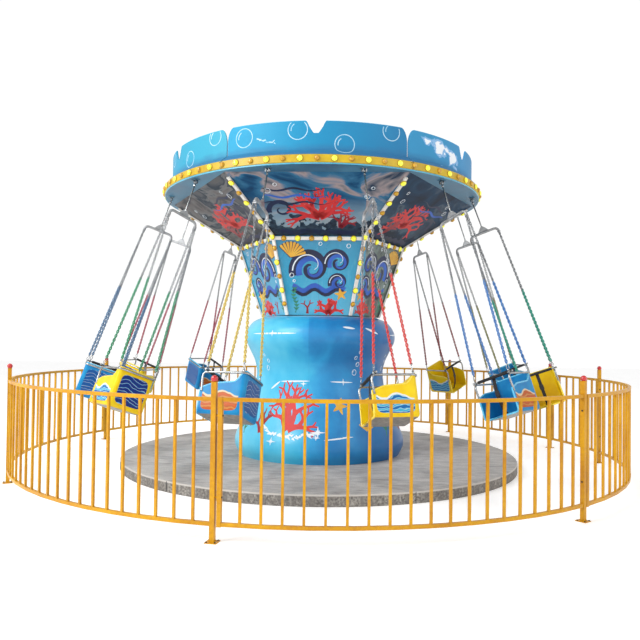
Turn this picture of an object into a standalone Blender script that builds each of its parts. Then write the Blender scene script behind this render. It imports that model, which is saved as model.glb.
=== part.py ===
"""Chair swing ride: a child-size flying-chair carousel inside its own ring fence.

A vase-shaped pedestal on a round plinth carries a six-sided turning tower. The tower opens
out into a round canopy with a bulb band and an upright crest, and twelve bucket chairs hang
from it on chains. A railing of curved bays with one gate stands round the ride.

Metres, +Z up. The origin is on the turning axis, on the ground, and -Y is the front.
An angle round the ride is counted from the front, positive towards +X.
"""

import math

import bmesh
import bpy
from mathutils import Matrix, Vector

# Clearance that pieces resting on each other keep
GAP = 0.0003
# How far one welded piece runs into the next
WELD = 0.004

# Plinth and pedestal
PLINTH_RADIUS = 2.54
PLINTH_HEIGHT = 0.12
PEDESTAL_TOP = 1.890
# Radius and height of the vase from its top rim down to its foot
PEDESTAL_PROFILE = (
    (0.760, PEDESTAL_TOP),
    (0.885, 1.835),
    (0.972, 1.725),
    (0.990, 1.600),
    (0.930, 1.460),
    (0.862, 1.310),
    (0.838, 1.140),
    (0.885, 0.900),
    (1.005, 0.590),
    (1.100, 0.370),
    (1.112, 0.240),
    (1.060, PLINTH_HEIGHT + GAP),
)
PEDESTAL_SIDES = 32

# Turning tower, six-sided, with a flat side to the front
SLEW_RADIUS = 0.52
SLEW_HEIGHT = 0.012
TOWER_BOTTOM = PEDESTAL_TOP + SLEW_HEIGHT
TOWER_BOTTOM_RADIUS = 0.774
TOWER_TOP = 2.840
TOWER_TOP_RADIUS = 1.093
HEXAGON_TURN = math.radians(30)

# Canopy
DECK_UNDERSIDE = 3.404
DECK_THICKNESS = 0.014
DECK_RADIUS = 2.050
FUNNEL_RADIUS = 2.000
RIM_BOTTOM = DECK_UNDERSIDE + DECK_THICKNESS
RIM_TOP = 3.503
RIM_RADIUS = 2.061
RIM_THICKNESS = 0.046
RIM_SIDES = 72
ROOF_RADIUS = 1.880
ROOF_EDGE_TOP = 3.530
ROOF_PEAK = 3.740
HUB_RADIUS = 0.200
HUB_TOP = 3.800

# Crest boards, six of them, each with a notch at its middle
CREST_COUNT = 6
CREST_TOP = 3.887
CREST_RADIUS = 1.960
CREST_THICKNESS = 0.014
CREST_FOOT_RADIUS = 2.046
CREST_KERB = 0.012
CREST_FLARE = 0.075
CREST_SLIT = 0.014
CREST_SHOULDER_WIDTH = 0.085
CREST_SHOULDER_DROP = 0.165
# Turns in degrees at which the rounded shoulder's edge has a corner
CREST_SHOULDER_TURNS = (45, 75, 90)
CREST_PLAIN_COLUMNS = 3
NOTCH_HALF_TOP = 0.095
NOTCH_HALF_BOTTOM = 0.028
NOTCH_DEPTH = 0.134

# Light strips on the tower's corners, along its top edge and up the funnel's corners
STRIP_WIDTH = 0.040
STRIP_DEPTH = 0.020
STRIP_FUNNEL_END = 0.93
TOP_STRIP_DROP = 0.026
# Shares of a strip's run that stay free at its lower end and at the tower's top edge
STRIP_FREE = 0.004
STRIP_FREE_AT_BEND = 0.002

# Chair suspension, in a chair's own frame: pin at the origin, x outward, -y forward
CHAIR_COUNT = 12
PIVOT_RADIUS = 1.970
PIVOT_HEIGHT = 3.370
REST_SWING = math.radians(20)
PIN_RADIUS = 0.008
PIN_END = 0.006
EYE_RADIUS = 0.020
EYE_BORE = 0.0092
EYE_WIDTH = 0.018
EAR_GAP = 0.026
EAR_THICKNESS = 0.008
EAR_HALF = 0.016
LUG_PLATE = (0.080, 0.070, 0.006)
ROD_RADIUS = 0.009
ROD_TOP = -0.014
ROD_INTO_GUSSET = 0.020
SPREADER_HEIGHT = -0.435
SPREADER_HALF = 0.175
SPREADER_DROP = 0.065
# Points of the spreader's bend, from its outer end, as a step inward and a drop
SPREADER_BEND = ((0.0, SPREADER_DROP), (0.006, 0.024), (0.045, 0.0))
SPREADER_TUBE = 0.013
GUSSET_HALF = 0.075
GUSSET_TOP = -0.365
GUSSET_THICKNESS = 0.010
SHACKLE = (0.020, 0.044, 0.022)
SHACKLE_LAP = 0.003
CHAIN_RADIUS = 0.011
CHAIN_HEAD_Y = 0.0132
CHAIN_BOTTOM = -2.265
CHAIN_FOOT_LIFT = 0.0015

# Bucket seat and its tube frame
SEAT_HALF = 0.205
SEAT_WALL = 0.018
SEAT_EDGE = 0.022
SEAT_FRAME_HEIGHT = -2.300
SEAT_FRAME_TUBE = 0.011
SEAT_LUG_Y = 0.185
SEAT_LUG = 0.024
# The frame tube's right half, from its front foot to the middle of the back
SEAT_FRAME_PATH = (
    (SEAT_HALF, -0.196, -2.480),
    (SEAT_HALF, -0.212, -2.345),
    (SEAT_HALF, -0.170, SEAT_FRAME_HEIGHT),
    (SEAT_HALF, SEAT_LUG_Y, SEAT_FRAME_HEIGHT),
    (SEAT_HALF - 0.040, 0.225, SEAT_FRAME_HEIGHT),
)
SEAT_BACK = 0.218
SEAT_BACK_WALL = 0.028
# Limits of the block that hollows the bucket out, clear of it in front and above
HOLLOW_FRONT = -0.4
HOLLOW_TOP = -2.0
SEAT_PAN_TOP = -2.652
SEAT_OUTLINE = (
    (-0.190, -2.690),
    (-0.215, -2.665),
    (-0.215, -2.450),
    (-0.100, -2.405),
    (0.115, -2.385),
    (0.165, -2.335),
    (0.178, -2.285),
    (SEAT_BACK, -2.285),
    (SEAT_BACK, -2.630),
    (0.185, -2.690),
)
LAP_BAR_RADIUS = 0.012
LAP_BAR_HALF = 0.235
LAP_BAR_Y = -0.175
LAP_BAR_HEIGHT = -2.283

# Ring fence
FENCE_RADIUS = 3.750
FENCE_BAYS = 7
FENCE_START = math.radians(-10.6)
FENCE_SPAN = 2 * math.pi / FENCE_BAYS
GATE_SECTOR = 2
GATE_SPAN = math.radians(19.4)
POST_WIDTH = 0.040
POST_TOP = 1.240
BALL_RADIUS = 0.027
BALL_RISE = 0.0248
BASE_PLATE = 0.100
BASE_PLATE_THICKNESS = 0.006
STILE_WIDTH = 0.036
STILE_GAP = 0.016
# How far a stile stands past the bottom rail and the top rail
STILE_PAST_RAILS = (0.004, 0.002)
RAIL_WIDTH = 0.030
RAIL_STEP = math.radians(5.2)
TOP_RAIL = 1.107
BOTTOM_RAIL = 0.142
BALUSTER_WIDTH = 0.021
BALUSTER_PITCH = FENCE_SPAN / 20
SPACER_HEIGHTS = (0.350, 0.980)
SPACER_RADIUS = 0.009

# Gate hinges: a barrel on the post carries a pin, a barrel on the leaf turns on it
HINGE_HEIGHTS = (0.280, 0.930)
HINGE_OFFSET = 0.028
BARREL_RADIUS = 0.010
BARREL_HEIGHT = 0.040
BARREL_PLAY = 0.0005
HINGE_LUG = 0.018
HINGE_LUG_REACH = 0.011
HINGE_LUG_INWARD = 0.006
HINGE_PIN_RADIUS = 0.0045
HINGE_BORE = 0.0055

# Turns a flat outline upright, its x along y and its y along z
SIDE_VIEW = Matrix(((0, 0, 1, 0), (1, 0, 0, 0), (0, 1, 0, 0), (0, 0, 0, 1)))

COLOURS = {
    "stone": ((0.42, 0.42, 0.41), 0.80, 0.0),
    "blue_shell": ((0.08, 0.42, 0.72), 0.22, 0.0),
    "tower_panel": ((0.05, 0.45, 0.55), 0.30, 0.0),
    "funnel_panel": ((0.08, 0.18, 0.28), 0.35, 0.0),
    "deck_blue": ((0.10, 0.25, 0.40), 0.45, 0.0),
    "rim_yellow": ((0.85, 0.60, 0.04), 0.35, 0.0),
    "strip_silver": ((0.75, 0.76, 0.78), 0.35, 0.9),
    "steel": ((0.55, 0.56, 0.58), 0.35, 1.0),
    "seat_blue": ((0.05, 0.35, 0.75), 0.30, 0.0),
    "seat_yellow": ((0.90, 0.65, 0.04), 0.30, 0.0),
    "fence_yellow": ((0.90, 0.52, 0.03), 0.40, 0.0),
}


def clear_scene():
    for obj in list(bpy.data.objects):
        bpy.data.objects.remove(obj, do_unlink=True)


def make_materials():
    made = {}
    for name, (colour, roughness, metallic) in COLOURS.items():
        material = bpy.data.materials.new(name)
        material.use_nodes = True
        shader = material.node_tree.nodes["Principled BSDF"]
        shader.inputs["Base Color"].default_value = (*colour, 1.0)
        shader.inputs["Roughness"].default_value = roughness
        shader.inputs["Metallic"].default_value = metallic
        made[name] = material
    return made


clear_scene()
MATERIALS = make_materials()
RIDE = bpy.data.collections.new("chair_swing_ride")
bpy.context.scene.collection.children.link(RIDE)


def around(angle):
    """Turn about the ride's axis, by an angle counted from the front."""
    return Matrix.Rotation(angle, 4, "Z")


def at(x, y, z):
    return Matrix.Translation(Vector((x, y, z)))


def box(size, place=Matrix()):
    """A closed box of this size, centred on the frame given."""
    bm = bmesh.new()
    bmesh.ops.create_cube(bm, size=1.0, matrix=place @ Matrix.Diagonal((*size, 1.0)))
    return finished(bm)


def cylinder(radius, length, place=Matrix(), sides=12, top_radius=None):
    """A closed cylinder or cone along the frame's z axis, centred on it."""
    bm = bmesh.new()
    upper = radius if top_radius is None else top_radius
    bmesh.ops.create_cone(
        bm, cap_ends=True, segments=sides, radius1=radius, radius2=upper, depth=length, matrix=place
    )
    return finished(bm)


def ball(radius, place=Matrix()):
    bm = bmesh.new()
    bmesh.ops.create_uvsphere(bm, u_segments=8, v_segments=5, radius=radius, matrix=place)
    return finished(bm)


def finished(bm):
    """Turn a bmesh into a mesh whose faces point out."""
    bmesh.ops.recalc_face_normals(bm, faces=bm.faces)
    mesh = bpy.data.meshes.new("body")
    bm.to_mesh(mesh)
    bm.free()
    return mesh


def along(start, end):
    """A frame at the middle of a segment, with its z axis along it, and the length."""
    start, end = Vector(start), Vector(end)
    turn = (end - start).to_track_quat("Z", "Y").to_matrix().to_4x4()
    return Matrix.Translation((start + end) / 2) @ turn, (end - start).length


def rod(start, end, radius, sides=8):
    place, length = along(start, end)
    return cylinder(radius, length, place, sides)


def evaluated_mesh(obj):
    """The mesh of an object after its modifiers, with loose caps welded."""
    graph = bpy.context.evaluated_depsgraph_get()
    mesh = bpy.data.meshes.new_from_object(obj.evaluated_get(graph))
    bm = bmesh.new()
    bm.from_mesh(mesh)
    bmesh.ops.remove_doubles(bm, verts=bm.verts, dist=1e-6)
    bmesh.ops.recalc_face_normals(bm, faces=bm.faces)
    bm.to_mesh(mesh)
    bm.free()
    return mesh


def scratch_object(data):
    obj = bpy.data.objects.new("scratch", data)
    bpy.context.scene.collection.objects.link(obj)
    return obj


def tube(points, radius, cyclic=False, resolution=2):
    """A tube along a polyline, as a closed mesh."""
    curve = bpy.data.curves.new("tube", "CURVE")
    curve.dimensions = "3D"
    curve.bevel_depth = radius
    curve.bevel_resolution = resolution
    curve.use_fill_caps = not cyclic
    spline = curve.splines.new("POLY")
    spline.points.add(len(points) - 1)
    for spot, point in zip(spline.points, points):
        spot.co = (*point, 1.0)
    spline.use_cyclic_u = cyclic
    obj = scratch_object(curve)
    mesh = evaluated_mesh(obj)
    bpy.data.objects.remove(obj)
    return mesh


def plate(outline, thickness, place=Matrix()):
    """A flat outline in the frame's xy plane, thickened both ways along z."""
    curve = bpy.data.curves.new("outline", "CURVE")
    curve.dimensions = "2D"
    curve.fill_mode = "BOTH"
    curve.extrude = thickness / 2
    spline = curve.splines.new("POLY")
    spline.points.add(len(outline) - 1)
    for spot, (x, y) in zip(spline.points, outline):
        spot.co = (x, y, 0.0, 1.0)
    spline.use_cyclic_u = True
    obj = scratch_object(curve)
    mesh = evaluated_mesh(obj)
    bpy.data.objects.remove(obj)
    mesh.transform(place)
    return mesh


def bevelled(mesh, width, segments=2, angle=50):
    """Round the edges that are sharper than the angle, in degrees."""
    obj = scratch_object(mesh)
    bevel = obj.modifiers.new("edges", "BEVEL")
    bevel.width = width
    bevel.segments = segments
    bevel.limit_method = "ANGLE"
    bevel.angle_limit = math.radians(angle)
    result = evaluated_mesh(obj)
    bpy.data.objects.remove(obj)
    return result


def combined(base, others, operation="UNION"):
    """Join closed meshes into one body, or cut the others out of the first."""
    obj = scratch_object(base)
    for other in others:
        tool = scratch_object(other)
        boolean = obj.modifiers.new("step", "BOOLEAN")
        boolean.operation = operation
        boolean.solver = "EXACT"
        boolean.object = tool
        obj.data = evaluated_mesh(obj)
        obj.modifiers.clear()
        bpy.data.objects.remove(tool)
    result = obj.data
    bpy.data.objects.remove(obj)
    return result


def group(meshes):
    """Put meshes that don't touch into one mesh."""
    bm = bmesh.new()
    for mesh in meshes:
        bm.from_mesh(mesh)
    together = bpy.data.meshes.new("group")
    bm.to_mesh(together)
    bm.free()
    return together


def turned(profile, sides):
    """A solid turned about the z axis from a profile that runs from top to bottom."""
    rings = [(0.0, profile[0][1]), *profile, (0.0, profile[-1][1])]
    bm = bmesh.new()
    spots = [bm.verts.new((radius, 0.0, height)) for radius, height in rings]
    for first, second in zip(spots, spots[1:]):
        bm.edges.new((first, second))
    mesh = bpy.data.meshes.new("profile")
    bm.to_mesh(mesh)
    bm.free()
    return screwed(mesh, sides, 2 * math.pi)


def screwed(mesh, sides, angle):
    obj = scratch_object(mesh)
    screw = obj.modifiers.new("turn", "SCREW")
    screw.angle = angle
    screw.steps = sides
    screw.render_steps = sides
    screw.use_merge_vertices = True
    screw.merge_threshold = 0.00005
    result = evaluated_mesh(obj)
    bpy.data.objects.remove(obj)
    return result


def ring(inner, outer, bottom, top, sides):
    """A square-edged ring about the z axis."""
    corners = ((inner, top), (outer, top), (outer, bottom), (inner, bottom))
    bm = bmesh.new()
    spots = [bm.verts.new((radius, 0.0, height)) for radius, height in corners]
    for first, second in zip(spots, spots[1:] + spots[:1]):
        bm.edges.new((first, second))
    mesh = bpy.data.meshes.new("section")
    bm.to_mesh(mesh)
    bm.free()
    return screwed(mesh, sides, 2 * math.pi)


def swept_rail(start, end, height):
    """A square rail bent to the fence's radius between two angles."""
    half = RAIL_WIDTH / 2
    bm = bmesh.new()
    corners = ((-half, -half), (half, -half), (half, half), (-half, half))
    section = bm.faces.new([bm.verts.new((0.0, -FENCE_RADIUS + u, height + v)) for u, v in corners])
    bmesh.ops.rotate(bm, verts=bm.verts, cent=(0, 0, 0), matrix=around(start).to_3x3())
    steps = max(3, round((end - start) / RAIL_STEP))
    bmesh.ops.spin(
        bm, geom=[section, *section.edges, *section.verts], cent=(0, 0, 0), axis=(0, 0, 1),
        angle=end - start, steps=steps, use_duplicate=False
    )
    bmesh.ops.remove_doubles(bm, verts=bm.verts, dist=1e-6)
    return finished(bm)


def add_part(name, mesh, material, place=Matrix(), smooth_angle=None):
    """Make the named object of a sub-part."""
    if not mesh.materials:
        mesh.materials.append(MATERIALS[material])
    if smooth_angle is not None:
        mesh.shade_smooth()
        mesh.set_sharp_from_angle(angle=math.radians(smooth_angle))
    obj = bpy.data.objects.new(name, mesh)
    obj.matrix_world = place
    RIDE.objects.link(obj)
    return obj


def build_base():
    plinth = cylinder(PLINTH_RADIUS, PLINTH_HEIGHT, at(0, 0, PLINTH_HEIGHT / 2), RIM_SIDES)
    add_part("base_plinth", plinth, "stone")
    add_part("pedestal", turned(PEDESTAL_PROFILE, PEDESTAL_SIDES), "blue_shell", smooth_angle=40)
    height = SLEW_HEIGHT - 2 * GAP
    slew = cylinder(SLEW_RADIUS, height, at(0, 0, PEDESTAL_TOP + SLEW_HEIGHT / 2), 32)
    add_part("slew_ring", slew, "steel")


def build_tower():
    height = TOWER_TOP - TOWER_BOTTOM
    place = at(0, 0, TOWER_BOTTOM + height / 2) @ around(HEXAGON_TURN)
    tower = cylinder(TOWER_BOTTOM_RADIUS, height, place, 6, TOWER_TOP_RADIUS)
    add_part("tower", tower, "tower_panel")
    bottom = TOWER_TOP + GAP
    height = DECK_UNDERSIDE - GAP - bottom
    place = at(0, 0, bottom + height / 2) @ around(HEXAGON_TURN)
    funnel = cylinder(TOWER_TOP_RADIUS, height, place, 6, FUNNEL_RADIUS)
    add_part("funnel", funnel, "funnel_panel")


def chair_angle(index):
    """Angle of a chair, the first one just left of the front."""
    return math.radians(360 / CHAIR_COUNT) * (index - 0.5)


def build_deck():
    disc = cylinder(
        DECK_RADIUS, DECK_THICKNESS - GAP, at(0, 0, DECK_UNDERSIDE + (DECK_THICKNESS - GAP) / 2), RIM_SIDES
    )
    lugs = []
    for index in range(CHAIR_COUNT):
        place = around(chair_angle(index)) @ at(0, -PIVOT_RADIUS, 0)
        lug = hanging_lug()
        lug.transform(place)
        lugs.append(lug)
    add_part("canopy_deck", combined(disc, [group(lugs)]), "deck_blue")


def hanging_lug():
    """Plate, two ears and the pin that one chair swings on, at the front of the canopy."""
    long, wide, thick = LUG_PLATE
    base = box((long, wide, thick + WELD), at(0, 0, DECK_UNDERSIDE - thick / 2 + WELD / 2))
    ear_bottom = PIVOT_HEIGHT - EAR_HALF
    ear_height = DECK_UNDERSIDE - thick / 2 - ear_bottom
    ears = []
    for side in (-1, 1):
        x = side * (EAR_GAP + EAR_THICKNESS) / 2
        ears.append(box((EAR_THICKNESS, 2 * EAR_HALF, ear_height), at(x, 0, ear_bottom + ear_height / 2)))
    pin_length = EAR_GAP + 2 * (EAR_THICKNESS + PIN_END)
    pin = cylinder(PIN_RADIUS, pin_length, at(0, 0, PIVOT_HEIGHT) @ Matrix.Rotation(math.pi / 2, 4, "Y"), 6)
    return combined(base, [*ears, pin])


def build_rim():
    band = ring(RIM_RADIUS - RIM_THICKNESS, RIM_RADIUS, RIM_BOTTOM, RIM_TOP, RIM_SIDES)
    add_part("rim_band", band, "rim_yellow", smooth_angle=30)
    roof = turned(
        (
            (HUB_RADIUS, HUB_TOP),
            (HUB_RADIUS, ROOF_PEAK),
            (ROOF_RADIUS, ROOF_EDGE_TOP),
            (ROOF_RADIUS, RIM_BOTTOM + GAP),
        ),
        36,
    )
    add_part("roof_cone", roof, "blue_shell", smooth_angle=30)


def crest_top(distance, half_length):
    """Height of a crest board's edge at a distance from its middle, along the arc."""
    distance = abs(distance)
    if distance < NOTCH_HALF_TOP:
        rise = max(0.0, distance - NOTCH_HALF_BOTTOM) / (NOTCH_HALF_TOP - NOTCH_HALF_BOTTOM)
        return CREST_TOP - NOTCH_DEPTH * (1 - rise)
    from_end = half_length - distance
    if from_end < CREST_SHOULDER_WIDTH:
        reach = 1 - from_end / CREST_SHOULDER_WIDTH
        return CREST_TOP - CREST_SHOULDER_DROP * (1 - math.sqrt(max(0.0, 1 - reach**2)))
    return CREST_TOP


def crest_columns(half_length):
    """Distances along a board, from its middle, where its edge turns."""
    shoulder = half_length - CREST_SHOULDER_WIDTH
    right = [NOTCH_HALF_BOTTOM, NOTCH_HALF_TOP]
    step = (shoulder - NOTCH_HALF_TOP) / CREST_PLAIN_COLUMNS
    right += [NOTCH_HALF_TOP + step * (i + 1) for i in range(CREST_PLAIN_COLUMNS)]
    right += [shoulder + CREST_SHOULDER_WIDTH * math.sin(math.radians(turn)) for turn in CREST_SHOULDER_TURNS]
    return [-d for d in reversed(right)] + right


def crest_board():
    """One board of the crest, centred on the front."""
    half_length = CREST_RADIUS * math.pi / CREST_COUNT - CREST_SLIT / 2
    foot = RIM_TOP + GAP
    bm = bmesh.new()
    columns = []
    for distance in crest_columns(half_length):
        turn = around(distance / CREST_RADIUS)
        top = crest_top(distance, half_length)
        section = (
            (CREST_FOOT_RADIUS, foot),
            (CREST_FOOT_RADIUS, foot + CREST_KERB),
            (CREST_RADIUS, foot + CREST_FLARE),
            (CREST_RADIUS, top),
        )
        columns.append([bm.verts.new(turn @ Vector((0, -radius, z))) for radius, z in section])
    for left, right in zip(columns, columns[1:]):
        for i in range(len(left) - 1):
            bm.faces.new((left[i], right[i], right[i + 1], left[i + 1]))
    mesh = bpy.data.meshes.new("crest")
    bm.to_mesh(mesh)
    bm.free()
    obj = scratch_object(mesh)
    shell = obj.modifiers.new("thickness", "SOLIDIFY")
    shell.thickness = CREST_THICKNESS
    shell.offset = -1
    shell.use_even_offset = False
    result = evaluated_mesh(obj)
    bpy.data.objects.remove(obj)
    return result


def build_crest():
    board = crest_board()
    for index in range(CREST_COUNT):
        place = around(index * 2 * math.pi / CREST_COUNT)
        add_part(f"crest_{index + 1}", board, "blue_shell", place)


def strip(start, end, outward):
    """A light strip whose back lies on the line from start to end."""
    start, end, outward = Vector(start), Vector(end), Vector(outward).normalized()
    along_strip = (end - start).normalized()
    across = along_strip.cross(outward)
    turn = Matrix((across, outward, along_strip)).transposed().to_4x4()
    centre = (start + end) / 2 + outward * (GAP + STRIP_DEPTH / 2)
    return box((STRIP_WIDTH, STRIP_DEPTH, (end - start).length), Matrix.Translation(centre) @ turn)


def build_light_frame():
    """Strips up the tower's corners, round its top and out along the funnel, joined in one frame."""
    bend = Vector((0, -TOWER_TOP_RADIUS, TOWER_TOP))
    low = Vector((0, -TOWER_BOTTOM_RADIUS, TOWER_BOTTOM)).lerp(bend, STRIP_FREE)
    rim = Vector((0, -FUNNEL_RADIUS, DECK_UNDERSIDE))
    out_tower = Vector((0, -(bend.z - low.z), -(low.y - bend.y)))
    out_funnel = Vector((0, -(rim.z - bend.z), -(bend.y - rim.y)))
    height = TOWER_TOP - TOWER_BOTTOM
    apothem = TOWER_TOP_RADIUS * math.cos(math.pi / 6)
    slope = (TOWER_TOP_RADIUS - TOWER_BOTTOM_RADIUS) * math.cos(math.pi / 6)
    lean = Vector((0, -height, -slope)).normalized()
    back = Vector((0, -apothem + TOP_STRIP_DROP * slope / height, TOWER_TOP - TOP_STRIP_DROP))
    half = Vector((TOWER_TOP_RADIUS / 2 - WELD, 0, 0))
    pieces = []
    for index in range(6):
        corner = around(math.radians(60 * index + 30))
        facing = around(math.radians(60 * index))
        high = bend.lerp(low, STRIP_FREE_AT_BEND)
        pieces.append(strip(corner @ low, corner @ high, corner @ out_tower))
        near = bend.lerp(rim, STRIP_FREE)
        far = bend.lerp(rim, STRIP_FUNNEL_END)
        pieces.append(strip(corner @ near, corner @ far, corner @ out_funnel))
        pieces.append(strip(facing @ (back - half), facing @ (back + half), facing @ lean))
    add_part("light_frame", combined(pieces[0], pieces[1:]), "strip_silver")


def hanger_mesh():
    """Eye, rod, spreader bar and the four chains of one chair, hanging straight down."""
    across = Matrix.Rotation(math.pi / 2, 4, "X")
    eye = cylinder(EYE_RADIUS, EYE_WIDTH, across, 10)
    hanger_rod = rod((0, 0, ROD_TOP), (0, 0, GUSSET_TOP - ROD_INTO_GUSSET), ROD_RADIUS, 6)
    half = SPREADER_HALF
    bend = [(half - inward, SPREADER_HEIGHT - drop) for inward, drop in SPREADER_BEND]
    path = [(-x, 0, z) for x, z in bend] + [(x, 0, z) for x, z in reversed(bend)]
    spreader = tube(path, SPREADER_TUBE, resolution=0)
    outline = (
        (-GUSSET_HALF, SPREADER_HEIGHT),
        (GUSSET_HALF, SPREADER_HEIGHT),
        (2 * ROD_RADIUS, GUSSET_TOP),
        (-2 * ROD_RADIUS, GUSSET_TOP),
    )
    gusset = plate(outline, GUSSET_THICKNESS, across)
    chains = []
    shackle_z = SPREADER_HEIGHT - SPREADER_DROP - SHACKLE[2] / 2 + SHACKLE_LAP
    for side in (-1, 1):
        chains.append(box(SHACKLE, at(side * half, 0, shackle_z)))
        for end in (-1, 1):
            top = Vector((side * half, end * CHAIN_HEAD_Y, shackle_z))
            low = Vector((side * SEAT_HALF, end * SEAT_LUG_Y, CHAIN_BOTTOM + CHAIN_FOOT_LIFT))
            chains.append(rod(top, low, CHAIN_RADIUS, 4))
    body = combined(eye, [hanger_rod, spreader, gusset, *chains])
    bore = cylinder(EYE_BORE, EYE_WIDTH * 2, across, 8)
    return combined(body, [bore], "DIFFERENCE")


def seat_mesh():
    """Bucket seat, its tube frame and the lap bar, hanging straight down."""
    shell = plate(SEAT_OUTLINE, 2 * SEAT_HALF, SIDE_VIEW)
    inner_back = SEAT_BACK - SEAT_BACK_WALL
    hollow = box(
        (2 * (SEAT_HALF - SEAT_WALL), inner_back - HOLLOW_FRONT, HOLLOW_TOP - SEAT_PAN_TOP),
        at(0, (HOLLOW_FRONT + inner_back) / 2, (HOLLOW_TOP + SEAT_PAN_TOP) / 2),
    )
    bucket = combined(bevelled(shell, SEAT_EDGE, 1, 60), [hollow], "DIFFERENCE")
    path = list(SEAT_FRAME_PATH) + [(-x, y, z) for x, y, z in reversed(SEAT_FRAME_PATH)]
    frame = tube(path, SEAT_FRAME_TUBE, resolution=0)
    lugs = []
    lug_top = CHAIN_BOTTOM - GAP
    lug_height = lug_top - SEAT_FRAME_HEIGHT
    for x in (-SEAT_HALF, SEAT_HALF):
        for y in (-SEAT_LUG_Y, SEAT_LUG_Y):
            lugs.append(box((SEAT_LUG, SEAT_LUG, lug_height), at(x, y, SEAT_FRAME_HEIGHT + lug_height / 2)))
    left = (-LAP_BAR_HALF, LAP_BAR_Y, LAP_BAR_HEIGHT)
    right = (LAP_BAR_HALF, LAP_BAR_Y, LAP_BAR_HEIGHT)
    lap_bar = rod(left, right, LAP_BAR_RADIUS, 6)
    return combined(bucket, [frame, *lugs, lap_bar])


def build_chairs():
    hanger = hanger_mesh()
    seats = {"seat_blue": seat_mesh()}
    seats["seat_yellow"] = seats["seat_blue"].copy()
    for index in range(CHAIR_COUNT):
        turn = around(chair_angle(index) - math.pi / 2) @ Matrix.Rotation(-REST_SWING, 4, "Y")
        pivot = around(chair_angle(index)) @ Vector((0, -PIVOT_RADIUS, PIVOT_HEIGHT))
        place = Matrix.Translation(pivot) @ turn
        colour = "seat_yellow" if index % 2 else "seat_blue"
        add_part(f"chair_hanger_{index + 1:02d}", hanger, "steel", place)
        add_part(f"chair_seat_{index + 1:02d}", seats[colour], colour, place)


def on_ring(angle, z, offset=0.0):
    """A frame on the fence's circle: x along it, y inward."""
    return around(angle) @ at(0, -FENCE_RADIUS - offset, z)


def upright(angle, width, bottom, top):
    return box((width, width, top - bottom), on_ring(angle, (bottom + top) / 2))


def fence_post(angle):
    """Square post with its foot plate and ball."""
    foot = box((BASE_PLATE, BASE_PLATE, BASE_PLATE_THICKNESS), on_ring(angle, BASE_PLATE_THICKNESS / 2))
    post = upright(angle, POST_WIDTH, BASE_PLATE_THICKNESS / 2, POST_TOP)
    finial = ball(BALL_RADIUS, on_ring(angle, POST_TOP + BALL_RISE))
    return combined(post, [foot, finial])


def baluster_angles(start, end):
    """Where the balusters stand that fit between two uprights."""
    count = round((end - start) / BALUSTER_PITCH) - 1
    pitch = (end - start) / (count + 1)
    return [start + pitch * (i + 1) for i in range(count)]


def rails_and_balusters(start, end, angles):
    """Two rails between two angles, with balusters at the angles given."""
    rails = [swept_rail(start, end, height) for height in (TOP_RAIL, BOTTOM_RAIL)]
    bars = group([upright(angle, BALUSTER_WIDTH, BOTTOM_RAIL, TOP_RAIL) for angle in angles])
    return combined(bars, rails)


def stile_offset():
    """Angle from a post's middle to the middle of the stile beside it."""
    return (POST_WIDTH / 2 + STILE_GAP + STILE_WIDTH / 2) / FENCE_RADIUS


def stile(angle):
    below, above = STILE_PAST_RAILS
    low = BOTTOM_RAIL - RAIL_WIDTH / 2 - below
    high = TOP_RAIL + RAIL_WIDTH / 2 + above
    return upright(angle, STILE_WIDTH, low, high)


def bay_halves(span):
    """A bay's two lengths of railing, the first with the stile, the second with the bay's post."""
    first = stile_offset()
    angles = baluster_angles(first, span)
    half = len(angles) // 2 + 1
    seam = (angles[half - 1] + angles[half]) / 2
    free = GAP / 2 / FENCE_RADIUS
    left = rails_and_balusters(first, seam - free, angles[:half])
    right = rails_and_balusters(seam + free, span, angles[half:])
    spacers = []
    length = STILE_GAP - GAP + WELD
    middle = -STILE_WIDTH / 2 - length / 2 + WELD
    for height in SPACER_HEIGHTS:
        place = on_ring(first, height) @ at(middle, 0, 0) @ Matrix.Rotation(math.pi / 2, 4, "Y")
        spacers.append(cylinder(SPACER_RADIUS, length, place, 8))
    return combined(left, [stile(first), *spacers]), combined(right, [fence_post(span)])


def hinge_place(z):
    """A frame on the gate's hinge line, at the front: x along the fence, y inward."""
    middle = -(POST_WIDTH / 2 + STILE_GAP / 2)
    return on_ring(0.0, z, HINGE_OFFSET) @ at(middle, 0, 0)


def hinge_lug(middle, height, side):
    """The block that welds a hinge barrel to the post or to the leaf beside it."""
    place = middle @ at(side * HINGE_LUG_REACH, HINGE_LUG_INWARD, 0)
    return box((HINGE_LUG, HINGE_LUG, height), place)


def gate_post_mesh():
    """The post that the gate hangs on, at the front, its hinge barrels towards -x."""
    pieces = []
    pin_length = 2 * (BARREL_HEIGHT - WELD)
    for height in HINGE_HEIGHTS:
        middle = hinge_place(height + BARREL_HEIGHT / 2)
        pieces.append(cylinder(BARREL_RADIUS, BARREL_HEIGHT, middle))
        pieces.append(hinge_lug(middle, BARREL_HEIGHT - WELD, 1))
        pin_middle = hinge_place(height + WELD + pin_length / 2)
        pieces.append(cylinder(HINGE_PIN_RADIUS, pin_length, pin_middle, 10))
    return combined(fence_post(0.0), pieces)


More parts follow.
